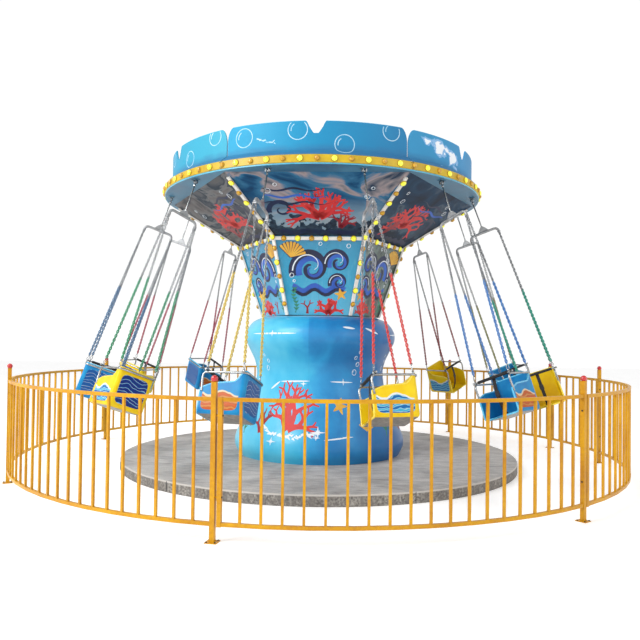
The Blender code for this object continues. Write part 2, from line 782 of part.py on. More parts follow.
def gate_leaf_mesh():
    """The gate's leaf, running from the hinge post at the front towards -x."""
    near = -stile_offset()
    far = -GATE_SPAN + stile_offset()
    railing = rails_and_balusters(far, near, baluster_angles(far, near))
    leaf = combined(railing, [stile(near), stile(far)])
    barrels = []
    bores = []
    length = BARREL_HEIGHT - BARREL_PLAY
    for height in HINGE_HEIGHTS:
        middle = hinge_place(height + 2 * BARREL_HEIGHT - length / 2)
        barrels.append(cylinder(BARREL_RADIUS, length, middle))
        barrels.append(hinge_lug(middle, length - WELD, -1))
        bores.append(cylinder(HINGE_BORE, 1.5 * length, middle, 10))
    return combined(combined(leaf, barrels), bores, "DIFFERENCE")


def build_fence():
    """Seven bays round the ring: one sector is shared by the gate and a short bay."""
    full = bay_halves(FENCE_SPAN)
    hinge_side = around(FENCE_START + GATE_SECTOR * FENCE_SPAN + GATE_SPAN)
    add_part("gate_post", gate_post_mesh(), "fence_yellow", hinge_side)
    add_part("gate_leaf", gate_leaf_mesh(), "fence_yellow", hinge_side)
    for index in range(FENCE_BAYS):
        if index == GATE_SECTOR:
            left, right = bay_halves(FENCE_SPAN - GATE_SPAN)
            place = hinge_side
        else:
            left, right = full
            place = around(FENCE_START + index * FENCE_SPAN)
        add_part(f"fence_bay_{index + 1}_left", left, "fence_yellow", place)
        add_part(f"fence_bay_{index + 1}_right", right, "fence_yellow", place)


build_base()
build_tower()
build_deck()
build_rim()
build_crest()
build_light_frame()
build_chairs()
build_fence()
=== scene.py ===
"""Looks of the chair swing ride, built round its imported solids.

Metres, +Z up, the turning axis through the origin, -Y the front. An angle round the ride
is counted from the front, positive towards +X. A chair has its own frame: its pin at the
origin, x outward, -y forward.
"""

import random
from math import atan2, copysign, cos, hypot, pi, radians, sin, sqrt, tau

import bpy
from mathutils import Matrix, Vector


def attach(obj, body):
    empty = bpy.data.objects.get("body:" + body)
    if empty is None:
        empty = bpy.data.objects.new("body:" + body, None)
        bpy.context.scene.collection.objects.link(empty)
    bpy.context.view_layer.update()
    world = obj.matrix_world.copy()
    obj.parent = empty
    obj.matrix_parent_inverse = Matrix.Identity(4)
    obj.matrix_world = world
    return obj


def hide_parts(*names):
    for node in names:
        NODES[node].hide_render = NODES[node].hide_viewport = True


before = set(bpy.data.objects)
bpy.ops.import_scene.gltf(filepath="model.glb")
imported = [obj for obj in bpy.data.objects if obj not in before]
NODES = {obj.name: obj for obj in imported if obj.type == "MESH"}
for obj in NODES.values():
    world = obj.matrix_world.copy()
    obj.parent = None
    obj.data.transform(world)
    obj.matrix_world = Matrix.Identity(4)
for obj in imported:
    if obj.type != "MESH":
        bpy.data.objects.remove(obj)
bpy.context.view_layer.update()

SCENE = bpy.context.scene
STUDIO_SHARE = 0.82
ROUND_SIDES = 144
SHELL_SIDES = 96
CORNERS = ((-1, -1), (-1, 1), (1, -1), (1, 1))

# Dimensions repeated from the part's source
PLINTH_RADIUS = 2.54
PLINTH_HEIGHT = 0.12
PEDESTAL_PROFILE = (
    (0.760, 1.890), (0.885, 1.835), (0.972, 1.725), (0.990, 1.600), (0.930, 1.460), (0.862, 1.310),
    (0.838, 1.140), (0.885, 0.900), (1.005, 0.590), (1.100, 0.370), (1.112, 0.240), (1.060, 0.1203),
)
TOWER_BOTTOM = 1.902
TOWER_BOTTOM_RADIUS = 0.774
TOWER_TOP = 2.840
TOWER_TOP_RADIUS = 1.093
DECK_UNDERSIDE = 3.404
FUNNEL_RADIUS = 2.000
RIM_BOTTOM = 3.418
RIM_TOP = 3.503
RIM_RADIUS = 2.061
RIM_THICKNESS = 0.046
ROOF_RADIUS = 1.880
ROOF_EDGE_TOP = 3.530
ROOF_PEAK = 3.740
HUB_RADIUS = 0.200
HUB_TOP = 3.800
CREST_FOOT = 3.5033
CREST_TOP = 3.887
CREST_RADIUS = 1.960
CREST_FOOT_RADIUS = 2.046
CREST_KERB = 0.012
CREST_FLARE = 0.075
CREST_THICKNESS = 0.014
CREST_SLIT = 0.014
CREST_SHOULDER_WIDTH = 0.085
CREST_SHOULDER_DROP = 0.165
NOTCH_HALF_TOP = 0.095
NOTCH_HALF_BOTTOM = 0.028
NOTCH_DEPTH = 0.134
STRIP_DEPTH = 0.020
STRIP_FUNNEL_END = 0.93
TOP_STRIP_DROP = 0.026
PIVOT_RADIUS = 1.970
PIVOT_HEIGHT = 3.370
REST_SWING = radians(20)
SPREADER_HEIGHT = -0.435
SPREADER_HALF = 0.175
SPREADER_DROP = 0.065
CHAIN_TOP = Vector((0.175, 0.0132, -0.508))
CHAIN_FOOT = Vector((0.205, 0.185, -2.2635))
SEAT_HALF = 0.205
SEAT_BACK = 0.218
SEAT_FRONT = -0.215
SEAT_BOTTOM = -2.690
LAP_BAR = (-0.175, -2.283)
FENCE_RADIUS = 3.750
FENCE_BAYS = 7
FENCE_START = radians(-10.6)
FENCE_SPAN = tau / FENCE_BAYS
GATE_SECTOR = 2
GATE_SPAN = radians(19.4)
POST_TOP = 1.240
BALL_RISE = 0.0248
STILE_OFFSET = 0.054 / FENCE_RADIUS

# Heads and nuts: radius, crown's radius, shoulder, top, then foot and sides where they differ
RIM_SCREW = (0.0045, 0.002, 0.0015, 0.0028, -0.001, 8)
PIN_NUT = (0.0125, 0.009, 0.006, 0.009, -0.001)
DECK_BOLT = (0.0065, 0.004, 0.004, 0.006)
ROOF_BOLT = (0.008, 0.004, 0.005, 0.007)
HUB_BOLT = (0.012, 0.006, 0.010, 0.013)
SHACKLE_BOLT = (0.007, 0.004, 0.005, 0.007)
FOOT_BOLT = (0.0075, 0.003, 0.005, 0.008)
RAIL_BOLT = (0.0085, 0.005, 0.004, 0.006, -0.001)


def around(angle):
    """Turn about the ride's axis."""
    return Matrix.Rotation(angle, 4, "Z")


def tilt(angle, axis="X"):
    return Matrix.Rotation(angle, 4, axis)


def at(x, y, z):
    return Matrix.Translation(Vector((x, y, z)))


def facing(point, outward, axis="Z"):
    """A frame at a point, with one of its axes outward."""
    return Matrix.Translation(point) @ Vector(outward).to_track_quat(axis, "Y").to_matrix().to_4x4()


def shares(steps):
    """Even steps from nought to one."""
    return [i / steps for i in range(steps + 1)]


def circle(sides, radius=1.0, start=0.0):
    """Points round a circle, as pairs, the first one a share of a side past the first axis."""
    angles = [tau * (i + start) / sides for i in range(sides)]
    return [(radius * cos(a), radius * sin(a)) for a in angles]


def chair_angle(index):
    """Angle of a chair's pin round the ride."""
    return radians(30) * (index - 0.5)


def linear(colour):
    """A 0 to 255 colour in linear light, a little down for the bright studio.

    A colour of four numbers is linear already and stays as it is.
    """
    if len(colour) == 4:
        return colour
    parts = [((v / 255 + 0.055) / 1.055) ** 2.4 for v in colour]
    return (*(STUDIO_SHARE * max(v, 0.002) for v in parts), 1.0)


class Output:
    """A node's output: plain arithmetic on a number, ramps and mixes for a colour."""

    def __init__(self, nodes, socket):
        self.nodes = nodes
        self.socket = socket

    def math(self, operation, other=0.0):
        return self.nodes.add("ShaderNodeMath", {0: self, 1: other}, operation=operation)

    def __add__(self, other):
        return self.math("ADD", other)

    def __sub__(self, other):
        return self.math("SUBTRACT", other)

    def __mul__(self, other):
        return self.math("MULTIPLY", other)

    def __truediv__(self, other):
        return self.math("DIVIDE", other)

    def __abs__(self):
        return self.math("ABSOLUTE")

    def between(self, low, high, first=0.0, last=1.0):
        """Carry a value's range to another one, held at its ends."""
        return self.nodes.add("ShaderNodeMapRange", {0: self, 1: low, 2: high, 3: first, 4: last})

    def ramp(self, *stops):
        """Colours at positions along a value."""
        result = self.nodes.add("ShaderNodeValToRGB", {0: self})
        elements = result.socket.node.color_ramp.elements
        while len(elements) < len(stops):
            elements.new(0.5)
        for element, (position, colour) in zip(elements, stops):
            element.position = position
            element.color = linear(colour)
        return result

    def mix(self, factor, cover):
        """This colour, with another one over it as far as the factor says."""
        if not isinstance(cover, Output):
            cover = linear(cover)
        return self.nodes.add("ShaderNodeMix", {0: factor, 6: self, 7: cover}, 2, data_type="RGBA")


class Nodes:
    """A node tree that nodes are added to by kind."""

    def __init__(self, owner):
        owner.use_nodes = True
        self.tree = owner.node_tree

    def feed(self, sockets, values):
        """Link outputs to a node's inputs, or set what the inputs hold."""
        for key, value in values.items():
            if isinstance(value, Output):
                self.tree.links.new(value.socket, sockets[key])
            else:
                sockets[key].default_value = value

    def add(self, kind, inputs=None, output=0, **settings):
        """Add a node and hand back one of its outputs."""
        node = self.tree.nodes.new(kind)
        for key, value in settings.items():
            setattr(node, key, value)
        self.feed(node.inputs, inputs or {})
        return Output(self, node.outputs[output])


class Finish(Nodes):
    """A node material whose colour, roughness and bump come from object-space patterns."""

    def __init__(self, name, metallic=0.0, coat=0.0, specular=0.5, roughness=0.4):
        self.material = bpy.data.materials.new(name)
        super().__init__(self.material)
        self.shader = self.tree.nodes["Principled BSDF"].inputs
        self.feed(self.shader, {
            "Metallic": metallic, "Coat Weight": coat, "Coat Roughness": 0.12,
            "Specular IOR Level": specular, "Roughness": roughness,
        })
        self.place = self.add("ShaderNodeTexCoord", output="Object")
        self.x, self.y, self.z = (self.add("ShaderNodeSeparateXYZ", {0: self.place}, i) for i in range(3))

    def noise(self, scale, detail, stretch=None, distortion=0.0):
        vector = self.add("ShaderNodeMapping", {0: self.place, "Scale": stretch}) if stretch else self.place
        inputs = {"Vector": vector, "Scale": scale, "Detail": detail, "Distortion": distortion}
        return self.add("ShaderNodeTexNoise", inputs)

    def waves(self, scale, distortion, direction="Z", detail=2.0):
        inputs = {"Vector": self.place, "Scale": scale, "Distortion": distortion, "Detail": detail}
        return self.add("ShaderNodeTexWave", inputs, 1, bands_direction=direction)

    def surface(self, wear, low, high, height=None, depth=0.0, strength=0.6):
        """Roughness from low to high as the wear goes, and bumps from a height."""
        self.feed(self.shader, {"Roughness": wear.between(0.3, 0.7, low, high)})
        if height:
            bump = self.add("ShaderNodeBump", {"Height": height, "Distance": depth, "Strength": strength})
            self.feed(self.shader, {"Normal": bump})

    def paint(self, colour):
        """Give the shader its colour; the material is done."""
        self.feed(self.shader, {"Base Color": colour})
        return self.material


def painted(name, dark, light, scale, roughness, coat=0.0, metallic=0.0):
    """Paint or moulded plastic: two near tones in soft clouds, with a fine surface."""
    finish = Finish(name, metallic, coat)
    clouds = finish.noise(scale, 4.0)
    finish.surface(clouds, roughness - 0.07, roughness + 0.08, finish.noise(160.0, 2.0), 0.0004)
    return finish.paint(clouds.ramp((0.30, dark), (0.70, light)))


def brushed(name, dark, light, roughness, metallic=1.0):
    """Metal with fine drawn lines and a few dull patches."""
    finish = Finish(name, metallic)
    lines = finish.noise(60.0, 3.0, (1, 1, 14))
    both = lines * 0.5 + finish.noise(9.0, 4.0) * 0.5
    finish.surface(both, roughness - 0.08, roughness + 0.10, lines, 0.0003, 0.4)
    return finish.paint(both.ramp((0.35, dark), (0.62, light)))


def stone_finish():
    """Plinth: a grey top in patches and short streaks, and a darker mottled side with runs down it, its
    chamfer pale with a painted highlight.
    """
    finish = Finish("plinth_stone")
    streaks = finish.noise(6.0, 5.0, (1.0, 3.4, 1.0), 0.5)
    fine = finish.noise(90.0, 2.0)
    both = streaks * 0.5 + finish.noise(1.5, 4.0, None, 0.8) * 0.5
    grey = both.ramp((0.38, (160, 157, 155)), (0.5, (194, 191, 188)), (0.62, (218, 215, 211)))
    top = grey.mix(fine.between(0.35, 0.65, 0.0, 0.34), (146, 143, 141))
    mottle = finish.noise(46.0, 5.0)
    side = mottle.ramp((0.36, (94, 90, 86)), (0.5, (142, 138, 132)), (0.64, (176, 172, 164)))
    runs = finish.noise(7.0, 3.0, (2.2, 2.2, 0.35))
    side = side.mix(runs.between(0.38, 0.60, 0.05, 0.75), (112, 108, 104))
    # From just below the chamfer up to the top the stone is pale: a painted highlight on the edge.
    edge = side.mix(finish.z.between(0.098, 0.106), (204, 200, 194))
    finish.surface(fine, 0.62, 0.86, streaks + fine, 0.0015)
    return finish.paint(edge.mix(finish.z.between(0.1165, 0.1185), top))


def sea_finish(name, reach, roughness, coat, specular):
    """Moulded shell whose print is water; the tone runs from light on the left to deep on the right."""
    finish = Finish(name, coat=coat, specular=specular)
    clouds = finish.noise(1.6, 5.0, (1.0, 1.0, 1.5), 0.6)
    bands = finish.noise(1.3, 3.0, (0.3, 0.3, 5.0))
    tone = bands * 0.14 + clouds * 0.34 + finish.x.between(-reach, reach) - 0.24
    finish.surface(clouds, roughness - 0.06, roughness + 0.08, finish.noise(26.0, 2.0), 0.0006, 0.35)
    return finish, clouds, tone


def pedestal_finish():
    """Pedestal shell: the print's own seam shows near the top, and a painted highlight makes the top edge
    pale.
    """
    finish, clouds, tone = sea_finish("pedestal_shell", 0.95, 0.36, 0.15, 0.35)
    puffs = finish.noise(3.4, 4.0, (1.0, 1.0, 0.8), 0.4).between(0.35, 0.65, -0.10, 0.10)
    step = (clouds * 0.30 + finish.z).between(1.42, 1.66, 0.0, 0.13)
    tone = tone + puffs + step * finish.x.between(PRINT_SEAM, PRINT_SEAM + 0.002)
    joint = abs(finish.x - PRINT_SEAM).between(0.0010, 0.0022, 0.22, 0.0)
    water = tone.ramp(*WATER).mix(joint, (20, 70, 120))
    # The pale band along the rounded top edge is a painted highlight.
    return finish.paint(water.mix(finish.z.between(1.872, 1.884, 0.0, 0.5), (190, 236, 250)))


def crest_finish(name, stops, splash=False):
    """Crest boards: blue water, a dull band along the foot and a painted highlight along the top edge, with
    foam on some.
    """
    finish, _, tone = sea_finish(name, 1.0, 0.5, 0.0, 0.2)
    ragged = finish.noise(5.0, 4.0, (1.0, 1.0, 2.0)) * 0.10 + finish.z
    foot = ragged.between(CREST_FOOT + 0.09, CREST_FOOT + 0.19, 0.85, 0.0)
    water = tone.ramp(*stops).mix(foot, (58, 116, 162))
    if splash:
        slope = finish.x * 0.26 + finish.z - 3.610
        spread = abs(slope).between(0.0, 0.17, 0.19, -0.12)
        ends = abs(finish.x + 0.46).between(0.30, 0.50, 0.0, -0.4)
        amount = finish.noise(6.5, 8.0, (1.0, 1.0, 1.3), 0.6) + ends + spread
        water = water.mix(amount.between(0.57, 0.60, 0.0, 0.8), (150, 196, 240))
        water = water.mix(amount.between(0.65, 0.68), (246, 250, 255))
    # The pale band along the top edge is a painted highlight.
    return finish.paint(water.mix(finish.z.between(CREST_TOP - 0.006, CREST_TOP - 0.003), (176, 220, 240)))


def tower_finish():
    """Turquoise printed panels, paler towards the foot, with light shafts; the panels on the right take dark
    grey-green painted shade.
    """
    finish = Finish("tower_panel", coat=0.4)
    clouds = finish.noise(2.2, 5.0, (1.0, 1.0, 0.6), 0.8)
    tone = clouds * 0.5 + finish.z.between(TOWER_BOTTOM, TOWER_TOP) * 0.7 - 0.15
    water = tone.ramp(
        (0.0, (96, 190, 222)), (0.35, (34, 160, 200)), (0.7, (20, 142, 184)), (1.0, (14, 122, 168)),
    )
    shafts = finish.noise(5.0, 2.0, (3.0, 3.0, 0.25)).between(0.55, 0.75, 0.0, 0.22)
    # Painted shade: dark grey-green tones laid over the panels on the right.
    reef = finish.noise(3.0, 6.0, (1.0, 1.0, 0.8), 1.4).ramp(
        (0.38, (30, 42, 40)), (0.5, (58, 82, 72)), (0.6, (104, 128, 122)), (0.68, (44, 60, 66)),
    )
    shade_mask = finish.x.between(TOWER_SIDE_TURN, TOWER_SIDE_TURN + 0.02)
    finish.surface(clouds, 0.22, 0.36, finish.noise(40.0, 2.0), 0.0004, 0.4)
    return finish.paint(water.mix(shafts, (110, 205, 228)).mix(shade_mask, reef))


def funnel_finish():
    """Dark printed panels: deep water, pale drifting light and rocks; the side panels are mostly covered by
    painted shade.
    """
    finish = Finish("funnel_panel", specular=0.12)
    drift = finish.noise(1.5, 6.0, (1.0, 1.0, 2.2), 1.6)
    sea = drift.ramp(
        (0.30, (22, 42, 70)), (0.40, (34, 84, 124)), (0.50, (62, 120, 156)),
        (0.57, (172, 156, 156)), (0.63, (132, 130, 136)), (0.72, (48, 66, 88)),
    )
    sea = sea.mix(finish.z.between(TOWER_TOP + 0.15, TOWER_TOP + 0.36, 0.72, 0.0), (158, 178, 188))
    skyline = finish.noise(7.0, 5.0, (1.0, 1.0, 0.05), 0.3) * -0.50 + finish.z
    rocks = skyline.between(TOWER_TOP - 0.125, TOWER_TOP - 0.118, 0.95, 0.0)
    sea = sea.mix(rocks, finish.noise(16.0, 4.0).ramp((0.35, (20, 30, 46)), (0.65, (52, 70, 88))))
    # Painted shade for the side panels: grey on the left ones, dark blue on the right ones.
    left = drift.ramp((0.36, (96, 94, 92)), (0.46, (26, 28, 32)), (0.5, (128, 122, 116)), (0.6, (70, 72, 74)))
    right = drift.ramp((0.34, (10, 22, 40)), (0.5, (24, 48, 74)), (0.58, (52, 84, 104)), (0.68, (16, 32, 54)))
    shade_mask = (abs(finish.x) - abs(finish.y) * PANEL_SLOPE).between(-0.01, 0.01) * 0.85
    finish.surface(drift, 0.42, 0.56, finish.noise(30.0, 2.0), 0.0004, 0.4)
    return finish.paint(sea.mix(shade_mask, right.mix(finish.x.math("LESS_THAN", 0.0), left)))


def seat_finish(name, shell_dark, shell_light, bands, crest, above, deep):
    """Moulded tub: plain shell, a printed wave band on both sides, streaks behind, and a grey underside."""
    finish = Finish(name, coat=0.05, specular=0.2)
    clouds = finish.noise(7.0, 3.0)
    shell = clouds.ramp((0.3, shell_dark), (0.7, shell_light))
    swell = ((finish.x + finish.y) * 21.0).math("SINE") * 0.026
    height = finish.z + 2.530 + swell + finish.noise(9.0, 2.0) * 0.05 - 0.025
    art = finish.waves(7.5, 7.0).ramp(*bands)
    art = art.mix(height.between(0.022, 0.026), crest).mix(height.between(0.038, 0.042), shell)

    def field(across, half_width, middle, half_height):
        """A rounded field that the print fills, one inside and nought outside."""
        u = (abs(across) / half_width).math("POWER", 6.0)
        v = (abs(finish.z - middle) / half_height).math("POWER", 6.0)
        return (u + v).between(0.97, 1.03, 1.0, 0.0)

    side = abs(finish.x).between(0.2035, 0.2045) * field(finish.y + 0.008, 0.178, -2.535, 0.118)
    back = finish.y.between(0.2165, 0.2175) * field(finish.x, 0.155, -2.490, 0.150)
    streaks = finish.waves(4.2, 7.0, detail=3.0)
    streaks = streaks.ramp((0.35, deep), (0.58, above), (0.66, crest), (0.72, deep))
    skin = shell.mix(side, art).mix(back, streaks)
    # Below the lip the tub is grey, the same on both seats.
    underside_grey = finish.noise(30.0, 3.0).ramp((0.35, (112, 108, 102)), (0.65, (146, 140, 132)))
    finish.surface(clouds, 0.28, 0.42, finish.noise(120.0, 2.0), 0.0003, 0.4)
    return finish.paint(skin.mix(finish.z.between(-2.6875, -2.6845, 1.0, 0.0), underside_grey))


def webbing_finish():
    """Black woven strap."""
    finish = Finish("strap_webbing")
    weave = finish.waves(120.0, 0.0, "X", 0.0) * finish.waves(160.0, 0.0, "Z", 0.0)
    finish.surface(weave, 0.7, 0.9, weave, 0.0006)
    return finish.paint(weave.ramp((0.2, (14, 14, 16)), (0.8, (52, 52, 56))))


def foam_finish():
    """Black cellular foam."""
    finish = Finish("bar_foam")
    cells = finish.add("ShaderNodeTexVoronoi", {"Vector": finish.place, "Scale": 420.0}, "Distance")
    finish.surface(cells, 0.75, 0.95, cells, 0.0007)
    return finish.paint(cells.ramp((0.1, (16, 16, 18)), (0.8, (44, 44, 48))))


def lamp_finish(name, dark, light, glow):
    """Moulded lamp cap in soft clouds, lit from inside."""
    finish = Finish(name, coat=0.5)
    clouds = finish.noise(45.0, 2.0)
    tone = clouds.ramp((0.35, dark), (0.65, light))
    finish.feed(finish.shader, {"Emission Color": tone, "Emission Strength": glow})
    finish.surface(clouds, 0.12, 0.24)
    return finish.paint(tone)


def fence_finish():
    """Amber enamel that pools darker in places, with slight orange peel."""
    finish = Finish("fence_enamel", coat=0.06, specular=0.3)
    fine = finish.noise(38.0, 3.0)
    both = fine * 0.35 + finish.noise(2.6, 4.0) * 0.65
    finish.surface(fine, 0.34, 0.50, finish.noise(220.0, 2.0), 0.0004, 0.5)
    return finish.paint(both.ramp((0.32, (192, 128, 0)), (0.5, (214, 153, 0)), (0.66, (230, 172, 0))))


def strip_finish():
    """Cream-white anodised strip."""
    finish = Finish("strip_cream")
    lines = finish.noise(50.0, 3.0, (1.0, 1.0, 5.0))
    finish.surface(lines, 0.3, 0.45, lines, 0.0003, 0.4)
    return finish.paint(lines.ramp((0.3, (232, 228, 220)), (0.7, (254, 251, 245))))


WATER = (
    (0.0, (104, 214, 246)), (0.30, (66, 192, 236)), (0.5, (46, 162, 222)),
    (0.72, (32, 132, 198)), (1.0, (32, 108, 174)),
)
CREST_WATER = ((0.1, (44, 160, 202)), (0.5, (36, 142, 188)), (1.0, (44, 128, 178)))
CREST_LIGHT_WATER = ((0.2, (38, 144, 184)), (0.6, (50, 158, 190)), (1.0, (66, 170, 198)))
CREST_SPLASH_WATER = ((0.1, (60, 150, 198)), (0.5, (64, 148, 200)), (1.0, (48, 132, 184)))
# Past this x a tower panel lies on the right and is painted in shade.
TOWER_SIDE_TURN = 0.56
PANEL_SLOPE = 0.577
PRINT_SEAM = -0.104

STONE = stone_finish()
PEDESTAL = pedestal_finish()
CRESTS = (
    crest_finish("crest_shell", CREST_WATER), crest_finish("crest_splash", CREST_SPLASH_WATER, True),
    crest_finish("crest_light", CREST_LIGHT_WATER),
)
TOWER = tower_finish()
FUNNEL = funnel_finish()
DECK = painted("deck_paint", (52, 104, 136), (84, 144, 174), 2.2, 0.46)
UNDER_LINE = painted("under_line", (66, 160, 196), (96, 190, 216), 8.0, 0.3)
RIM = painted("rim_yellow", (188, 150, 0), (216, 182, 4), 6.0, 0.4, 0.05)
ROOF = painted("roof_shell", (58, 142, 196), (84, 172, 220), 1.8, 0.42, 0.2)
STRIP = strip_finish()
DARK_LINE = painted("strip_seal", (28, 32, 38), (48, 52, 58), 30.0, 0.6)
CHROME = brushed("bright_steel", (134, 137, 138), (200, 203, 204), 0.20)
GREY_STEEL = brushed("grey_steel", (136, 138, 140), (190, 192, 194), 0.38, 0.6)
LINK_STEEL = brushed("zinc_links", (108, 111, 114), (194, 197, 200), 0.30)
BOLT = painted("dark_bolt", (36, 34, 34), (70, 66, 62), 60.0, 0.5, 0.0, 0.6)
FENCE = fence_finish()
RED = painted("ball_red", (186, 12, 18), (222, 26, 30), 30.0, 0.14, 0.8)
WEBBING = webbing_finish()
FOAM = foam_finish()
BUCKLE = painted("buckle_plastic", (16, 16, 18), (38, 38, 42), 60.0, 0.4)
BLUE_SEAT = seat_finish(
    "seat_blue", (16, 120, 188), (28, 150, 208),
    ((0.15, (198, 88, 22)), (0.5, (172, 84, 28)), (0.85, (206, 132, 62))),
    (226, 206, 170), (40, 140, 206), (20, 82, 152),
)
YELLOW_SEAT = seat_finish(
    "seat_yellow", (240, 196, 8), (252, 220, 24),
    ((0.12, (24, 104, 176)), (0.4, (40, 158, 208)), (0.58, (214, 232, 236)), (0.78, (66, 178, 214))),
    (232, 240, 240), (70, 176, 226), (22, 52, 132),
)
# Rolled seat rims: glossier, lighter copies of the shell colours; the lighter colour is a painted highlight.
SKY_RIM_HIGHLIGHT = painted("rim_sky_highlight", (70, 184, 236), (108, 214, 248), 20.0, 0.22, 0.6)
LEMON_RIM_HIGHLIGHT = painted("rim_lemon_highlight", (252, 214, 24), (255, 234, 80), 20.0, 0.22, 0.6)
BRIGHT_LAMP = lamp_finish("lamp_bright", (222, 222, 20), (250, 250, 80), 0.45)
AMBER_LAMP = lamp_finish("lamp_amber", (188, 134, 8), (224, 174, 22), 0.06)
COLLAR = painted("lamp_collar", (150, 104, 6), (196, 144, 18), 40.0, 0.4)
FOAM_INK = painted("ink_foam", (132, 194, 224), (196, 226, 240), 12.0, 0.5)
INKS = {
    "white": painted("ink_white", (226, 240, 248), (250, 252, 255), 9.0, 0.5),
    "red": painted("ink_red", (206, 30, 40), (230, 62, 54), 9.0, 0.55),
    "dark": painted("ink_coral_dark", (142, 20, 34), (172, 34, 44), 9.0, 0.5),
    "yellow": painted("ink_yellow", (222, 156, 34), (242, 192, 70), 9.0, 0.5),
    "green": painted("ink_green", (24, 108, 86), (58, 150, 110), 6.0, 0.5),
    "navy": painted("ink_navy", (10, 20, 50), (22, 36, 82), 5.0, 0.5),
    "royal": painted("ink_royal", (28, 72, 168), (52, 108, 206), 4.0, 0.5),
}


class Shape:
    """Points and faces of one mesh, gathered from grids of points."""

    def __init__(self):
        self.points = []
        self.faces = []

    def grid(self, rows, ring=True, loop=False, caps=False):
        """Faces between rows of points. ring closes each row, loop joins the last row to the first."""
        start = len(self.points)
        width = len(rows[0])
        for row in rows:
            self.points.extend(Vector(point) for point in row)
        for i in range(len(rows) if loop else len(rows) - 1):
            low = start + i * width
            high = start + ((i + 1) % len(rows)) * width
            for j in range(width if ring else width - 1):
                k = (j + 1) % width
                self.faces.append((low + j, low + k, high + k, high + j))
        if caps:
            self.faces.append(tuple(reversed(range(start, start + width))))
            self.faces.append(tuple(range(start + (len(rows) - 1) * width, start + len(rows) * width)))

    def tube(self, path, radius, sides, loop=False):
        """A round tube along a path."""
        frames = path_frames(path, loop)
        rows = [[matrix @ Vector((x, y, 0)) for x, y in circle(sides, radius)] for matrix in frames]
        self.grid(rows, loop=loop, caps=not loop)

    def turned(self, profile, sides, place=Matrix()):
        """A body turned about the z axis, from a profile of radius and height that runs upward."""
        self.grid([[place @ Vector((x, y, z)) for x, y in circle(sides, r)] for r, z in profile], caps=True)

    def bolt(self, place, radius, crown, shoulder, top, foot=0.0, sides=6):
        """A head or nut: one radius up to its shoulder, then in to its crown."""
        self.turned(((radius, foot), (radius, shoulder), (crown, top)), sides, place)

    def band(self, section):
        """A section of radius and height, carried once round the ride's axis."""
        self.grid([[(r * s, -r * c, z) for r, z in section] for c, s in circle(ROUND_SIDES)], loop=True)

    def block(self, size, place=Matrix(), edge=0.0001):
        """A box with its edges cut back a little."""
        x, y, z = (value / 2 for value in size)
        outline = (
            (x, y - edge), (x - edge, y), (edge - x, y), (-x, y - edge),
            (-x, edge - y), (edge - x, -y), (x - edge, -y), (x, edge - y),
        )
        levels = ((-z, 1 - edge / x), (edge - z, 1.0), (z - edge, 1.0), (z, 1 - edge / x))
        self.grid([[place @ Vector((u * s, v * s, w)) for u, v in outline] for w, s in levels], caps=True)

    def mesh(self, name):
        mesh = bpy.data.meshes.new(name)
        mesh.from_pydata([tuple(p) for p in self.points], [], self.faces)
        mesh.update()
        return mesh


def path_frames(path, loop=False):
    """A frame at each point of a path, z along it, turned as little as possible from one to the next."""
    points = [Vector(p) for p in path]
    count = len(points)
    frames = []
    side = None
    for i in range(count):
        before = points[i - 1] if loop or i else points[0]
        after = points[(i + 1) % count] if loop or i < count - 1 else points[-1]
        heading = (after - before).normalized()
        if side is None:
            side = heading.orthogonal().normalized()
        side = (side - heading * side.dot(heading)).normalized()
        turn = Matrix((side, heading.cross(side), heading)).transposed().to_4x4()
        frames.append(Matrix.Translation(points[i]) @ turn)
    return frames


def smooth_curve(points, steps):
    """A smooth run through points of two or three numbers, with so many steps between each pair."""
    points = [Vector(p) for p in points]
    padded = [points[0] * 2 - points[1], *points, points[-1] * 2 - points[-2]]
    run = []
    for i in range(len(points) - 1):
        a, b, c, d = padded[i:i + 4]
        for t in shares(steps)[:-1]:
            square = (2 * a - 5 * b + 4 * c - d) * t**2
            cube = (3 * b - a - 3 * c + d) * t**3
            run.append(0.5 * ((2 * b) + (c - a) * t + square + cube))
    return run + points[-1:]


def along(run, x):
    """The second number of a run of pairs, at a place along their first number, held at the ends."""
    if x <= run[0][0]:
        return run[0][1]
    for (x0, y0), (x1, y1) in zip(run, run[1:]):
        if x <= x1:
            return y0 + (y1 - y0) * (x - x0) / (x1 - x0)
    return run[-1][1]


def linked(name, data):
    """A new object in the scene."""
    obj = bpy.data.objects.new(name, data)
    SCENE.collection.objects.link(obj)
    return obj


def shared(name, fill):
    """A mesh that several pieces share, filled by a function."""
    shape = Shape()
    fill(shape)
    return shape.mesh(name)


def piece(name, mesh, material, body, slot, place=Matrix(), replaces=(), smooth=35):
    """Link a mesh as a piece that rides on a body, with the given finish; the slot is not used."""
    if isinstance(mesh, Shape):
        mesh = mesh.mesh(name)
    if not mesh.materials:
        mesh.materials.append(None)
    mesh.shade_smooth()
    mesh.set_sharp_from_angle(angle=radians(smooth))
    obj = linked(name, mesh)
    obj.matrix_world = place
    obj.material_slots[0].link = "OBJECT"
    obj.material_slots[0].material = material
    bpy.context.view_layer.update()
    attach(obj, body)
    if replaces:
        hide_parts(*replaces)
    return obj


def repaint(node, material, edge=0.0):
    """Give a CAD node its finish, and soft edges where wanted."""
    obj = NODES[node]
    for slot in obj.material_slots:
        slot.material = material
    if edge:
        weld = obj.modifiers.new("weld", "WELD")
        weld.merge_threshold = 0.00005
        bevel = obj.modifiers.new("edges", "BEVEL")
        bevel.width = edge
        bevel.segments = 2
        bevel.limit_method = "ANGLE"
        bevel.angle_limit = radians(50)
        bevel.use_clamp_overlap = True


# Camera

